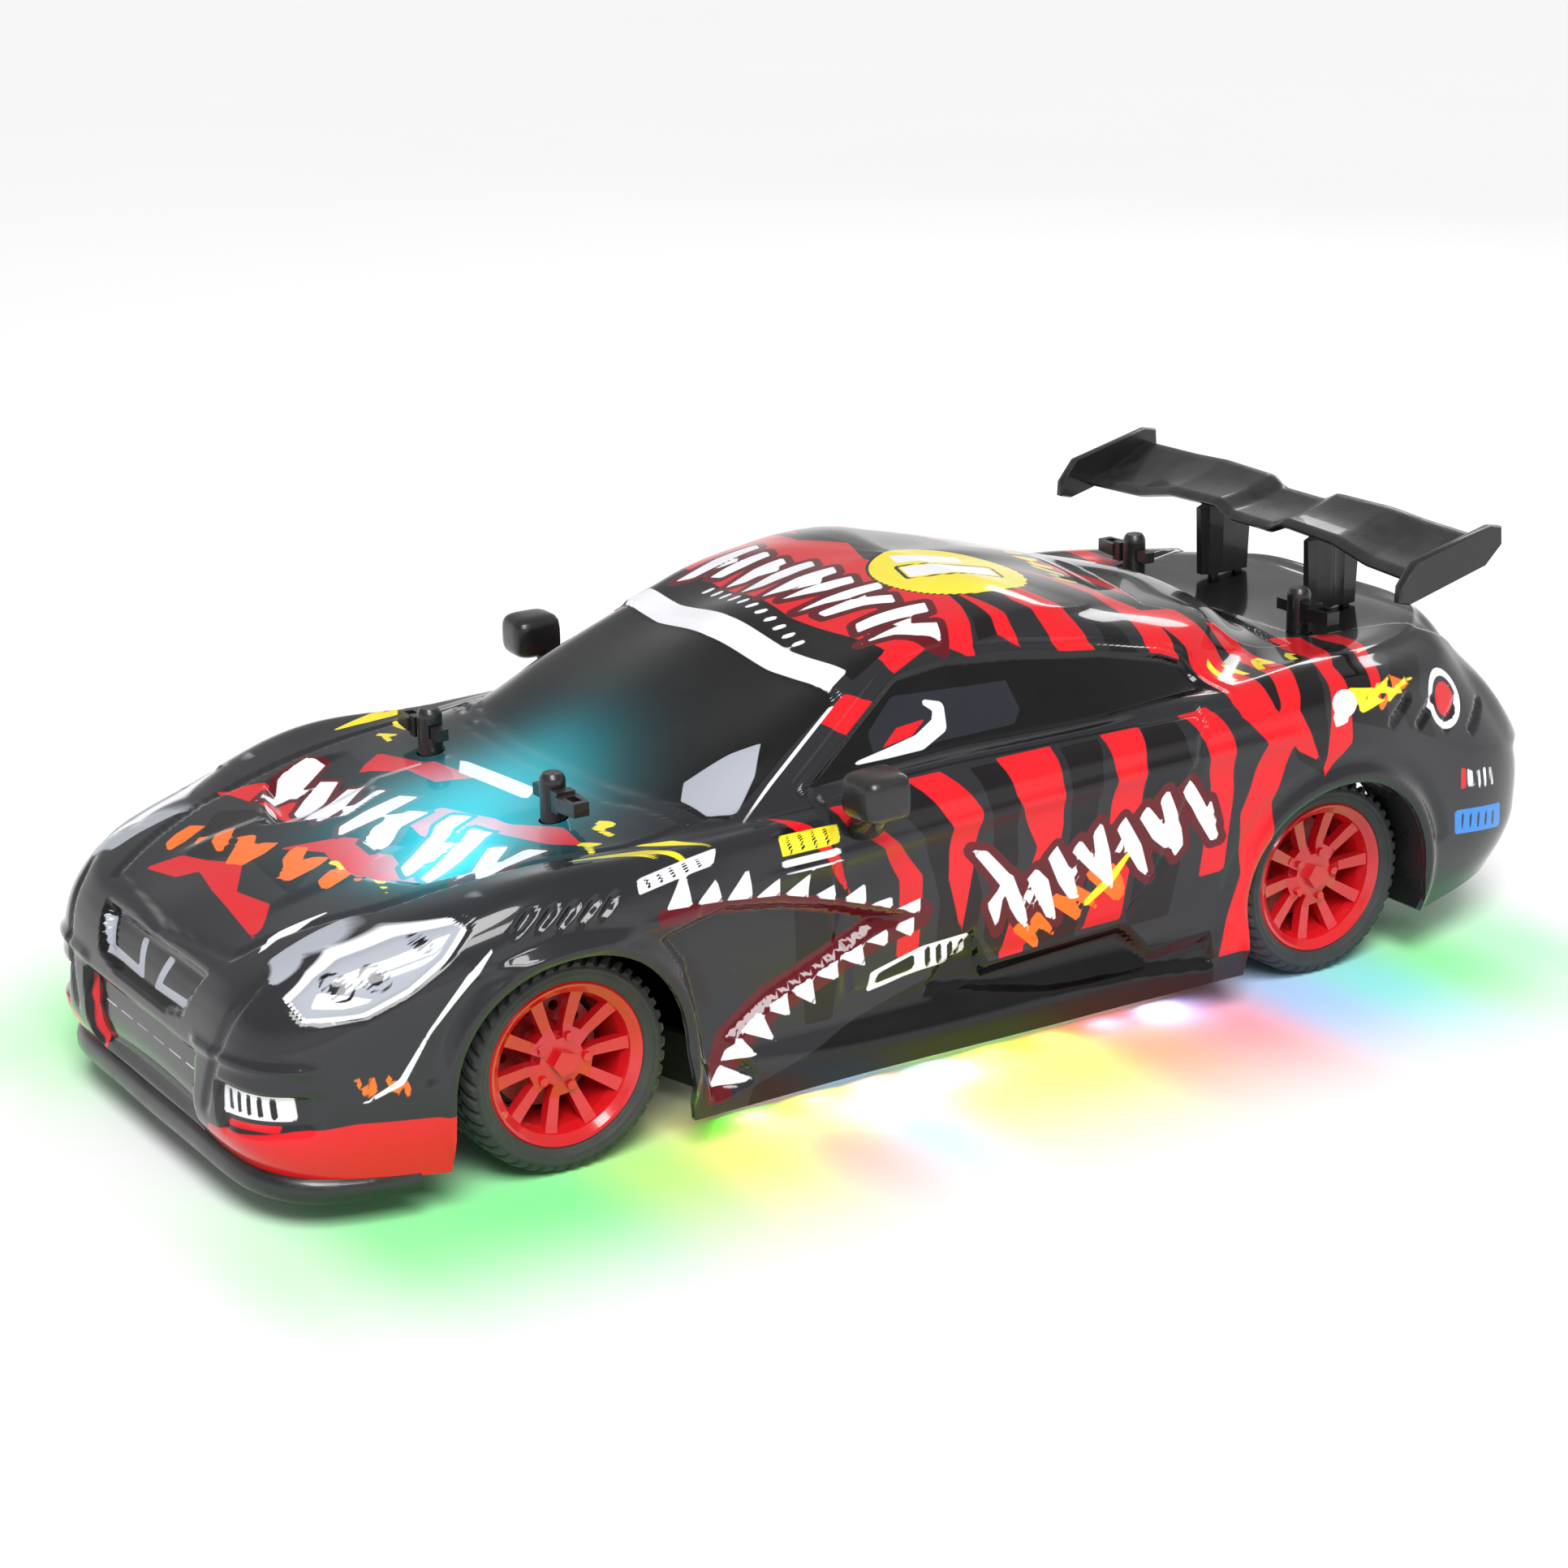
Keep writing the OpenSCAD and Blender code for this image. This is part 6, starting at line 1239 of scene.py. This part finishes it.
# painted light: the sill lamps' coloured pools painted into the paper's colour, as (x, colour) along the
# sills, fading as a bell to both sides of its line
paintedPoolStops = [(0.198, (1, 1, 1)), (0.165, (0.55, 1, 0.58)), (0.14, (0.2, 1, 0.28)),
             (0.105, (0.16, 1, 0.25)), (0.082, (0.5, 1, 0.16)), (0.064, (1, 0.9, 0.15)),
             (0.044, (1, 0.38, 0.36)), (0.026, (0.5, 0.68, 1)), (0.004, (0.85, 1, 0.2)),
             (-0.018, (0.7, 1, 0.16)), (-0.042, (1, 0.36, 0.16)), (-0.066, (1, 0.26, 0.26)),
             (-0.088, (0.36, 0.62, 1)), (-0.108, (0.2, 0.85, 0.8)), (-0.13, (0.25, 1, 0.35)),
             (-0.15, (0.45, 1, 0.55)), (-0.185, (1, 1, 1))]
place = addNode(tree, "ShaderNodeSeparateXYZ", {0: addNode(tree, "ShaderNodeTexCoord").outputs["Object"]})
rampHalf = 0.2
along = spread(tree, place.outputs[0], -rampHalf, rampHalf, 0.0, 1.0)
paintedPoolColours = addNode(tree, "ShaderNodeValToRGB", {0: along})
paintedPoolColours.color_ramp.interpolation = "EASE"
while len(paintedPoolColours.color_ramp.elements) > 1:
    paintedPoolColours.color_ramp.elements.remove(paintedPoolColours.color_ramp.elements[0])
for k, (x, tint) in enumerate(reversed(paintedPoolStops)):
    share = (x + rampHalf) / (2 * rampHalf)
    stop = paintedPoolColours.color_ramp.elements[0] if k == 0 else paintedPoolColours.color_ramp.elements.new(share)
    stop.position = share
    stop.color = (*tint, 1)
fromSill = calculate(tree, "SUBTRACT", calculate(tree, "ABSOLUTE", place.outputs[1]), stage["glowOut"])
squared = calculate(tree, "POWER",
                    calculate(tree, "DIVIDE", calculate(tree, "ABSOLUTE", fromSill),
                              stage["glowWide"]), 2.0)
strength = calculate(tree, "MULTIPLY",
                     calculate(tree, "EXPONENT", calculate(tree, "MULTIPLY", squared, -1.0)),
                     stage["glowShare"])
# the paper's colour is mixed towards the painted pools of lamp light
setSurface(tree, surface, baseColor=mixed(tree, strength, paperTone, paintedPoolColours.outputs[0]), roughness=0.9,
           specular=0.0)
floorMesh.materials.append(floorMaterial)

world = bpy.data.worlds.new("studio")
bpy.context.scene.world = world
world.use_nodes = True
sky = next(n for n in world.node_tree.nodes if n.type == "BACKGROUND")
# white down at the horizon, where it meets the floor, and dimmer overhead
skyPlace = addNode(world.node_tree, "ShaderNodeTexCoord").outputs["Generated"]
skyHeight = addNode(world.node_tree, "ShaderNodeSeparateXYZ", {0: skyPlace}).outputs[2]
skyLevel = spread(world.node_tree, skyHeight, *stage["skyDips"], 1.0, stage["world"])
world.node_tree.links.new(skyLevel, sky.inputs[1])
sky.inputs[0].default_value = (1, 1, 1, 1)


def areaLight(name, place, aim, size, power, tint=(1, 1, 1), sizeY=None):
    light = bpy.data.lights.new(name, "AREA")
    light.shape = "RECTANGLE"
    light.size = size
    light.size_y = sizeY or size
    light.energy = power
    light.color = tint
    lightObject = bpy.data.objects.new(name, light)
    lightObject.location = place
    back = np.array(place, float) - np.array(aim, float)
    back /= np.linalg.norm(back)
    across = np.cross([0, 0, 1] if abs(back[2]) < 0.99 else [0, 1, 0], back)
    across /= np.linalg.norm(across)
    up = np.cross(back, across)
    lightObject.rotation_mode = "QUATERNION"
    lightObject.rotation_quaternion = Matrix(np.stack([across, up, back], 1).tolist()).to_quaternion()
    bpy.context.scene.collection.objects.link(lightObject)


sunlight = {"strength": 2.3, "wide": 0.45, "tilt": -30, "lean": 18}
sun = bpy.data.lights.new("sun", "SUN")
sun.energy = sunlight["strength"]
sun.angle = sunlight["wide"]
sunObject = bpy.data.objects.new("sun", sun)
sunObject.rotation_euler = (math.radians(sunlight["tilt"]), math.radians(sunlight["lean"]), 0)
bpy.context.scene.collection.objects.link(sunObject)
areaLight("side box", (0.35, 0.75, 0.62), (0, 0, 0.06), 0.5, 3.2, sizeY=0.16)
areaLight("rear box", (-0.75, -0.45, 0.55), (0, 0, 0.07), 0.5, 1.3, sizeY=0.12)
# the coloured lamps under the sills, front to rear
sill = {"firstX": 0.052, "pitch": 0.0155, "y": 0.0535, "z": 0.0052, "aimY": 0.062, "size": 0.004,
        "power": 0.007}
lampColours = [(0.1, 1, 0.1), (0.6, 1, 0.05), (1, 0.3, 0.1), (0.2, 0.4, 1), (0.8, 1, 0.05),
               (1, 0.15, 0.05), (1, 0.1, 0.2), (0.2, 0.5, 1)]
for side in (1, -1):
    for k, tint in enumerate(lampColours):
        x = sill["firstX"] - sill["pitch"] * k
        areaLight("underLamp", (x, side * sill["y"], sill["z"]), (x, side * sill["aimY"], 0), sill["size"],
                  sill["power"], tint)

camera = {"azimuth": 147.925, "elevation": 18.1875, "roll": -0.828, "target": (0.00896, 0, 0.05133),
          "distance": 0.7888,
          "lens": 80.12}
azimuth, elevation, roll = (math.radians(camera[k]) for k in ("azimuth", "elevation", "roll"))
back = np.array([math.sin(azimuth) * math.cos(elevation), -math.cos(azimuth) * math.cos(elevation),
                 math.sin(elevation)])
across = np.cross([0, 0, 1], back)
across /= np.linalg.norm(across)
up = np.cross(back, across)
turned = np.stack([math.cos(roll) * across + math.sin(roll) * up,
                   -math.sin(roll) * across + math.cos(roll) * up, back], 1)
view = bpy.data.cameras.new("camera")
view.lens = camera["lens"]
view.sensor_width = 36
view.clip_start, view.clip_end = 0.01, 50
viewer = bpy.data.objects.new("camera", view)
viewer.location = np.array(camera["target"]) + camera["distance"] * back
viewer.rotation_mode = "QUATERNION"
viewer.rotation_quaternion = Matrix(turned.tolist()).to_quaternion()
bpy.context.scene.collection.objects.link(viewer)
bpy.context.scene.camera = viewer
bpy.context.scene.view_settings.view_transform = "Standard"
print("studio ready")
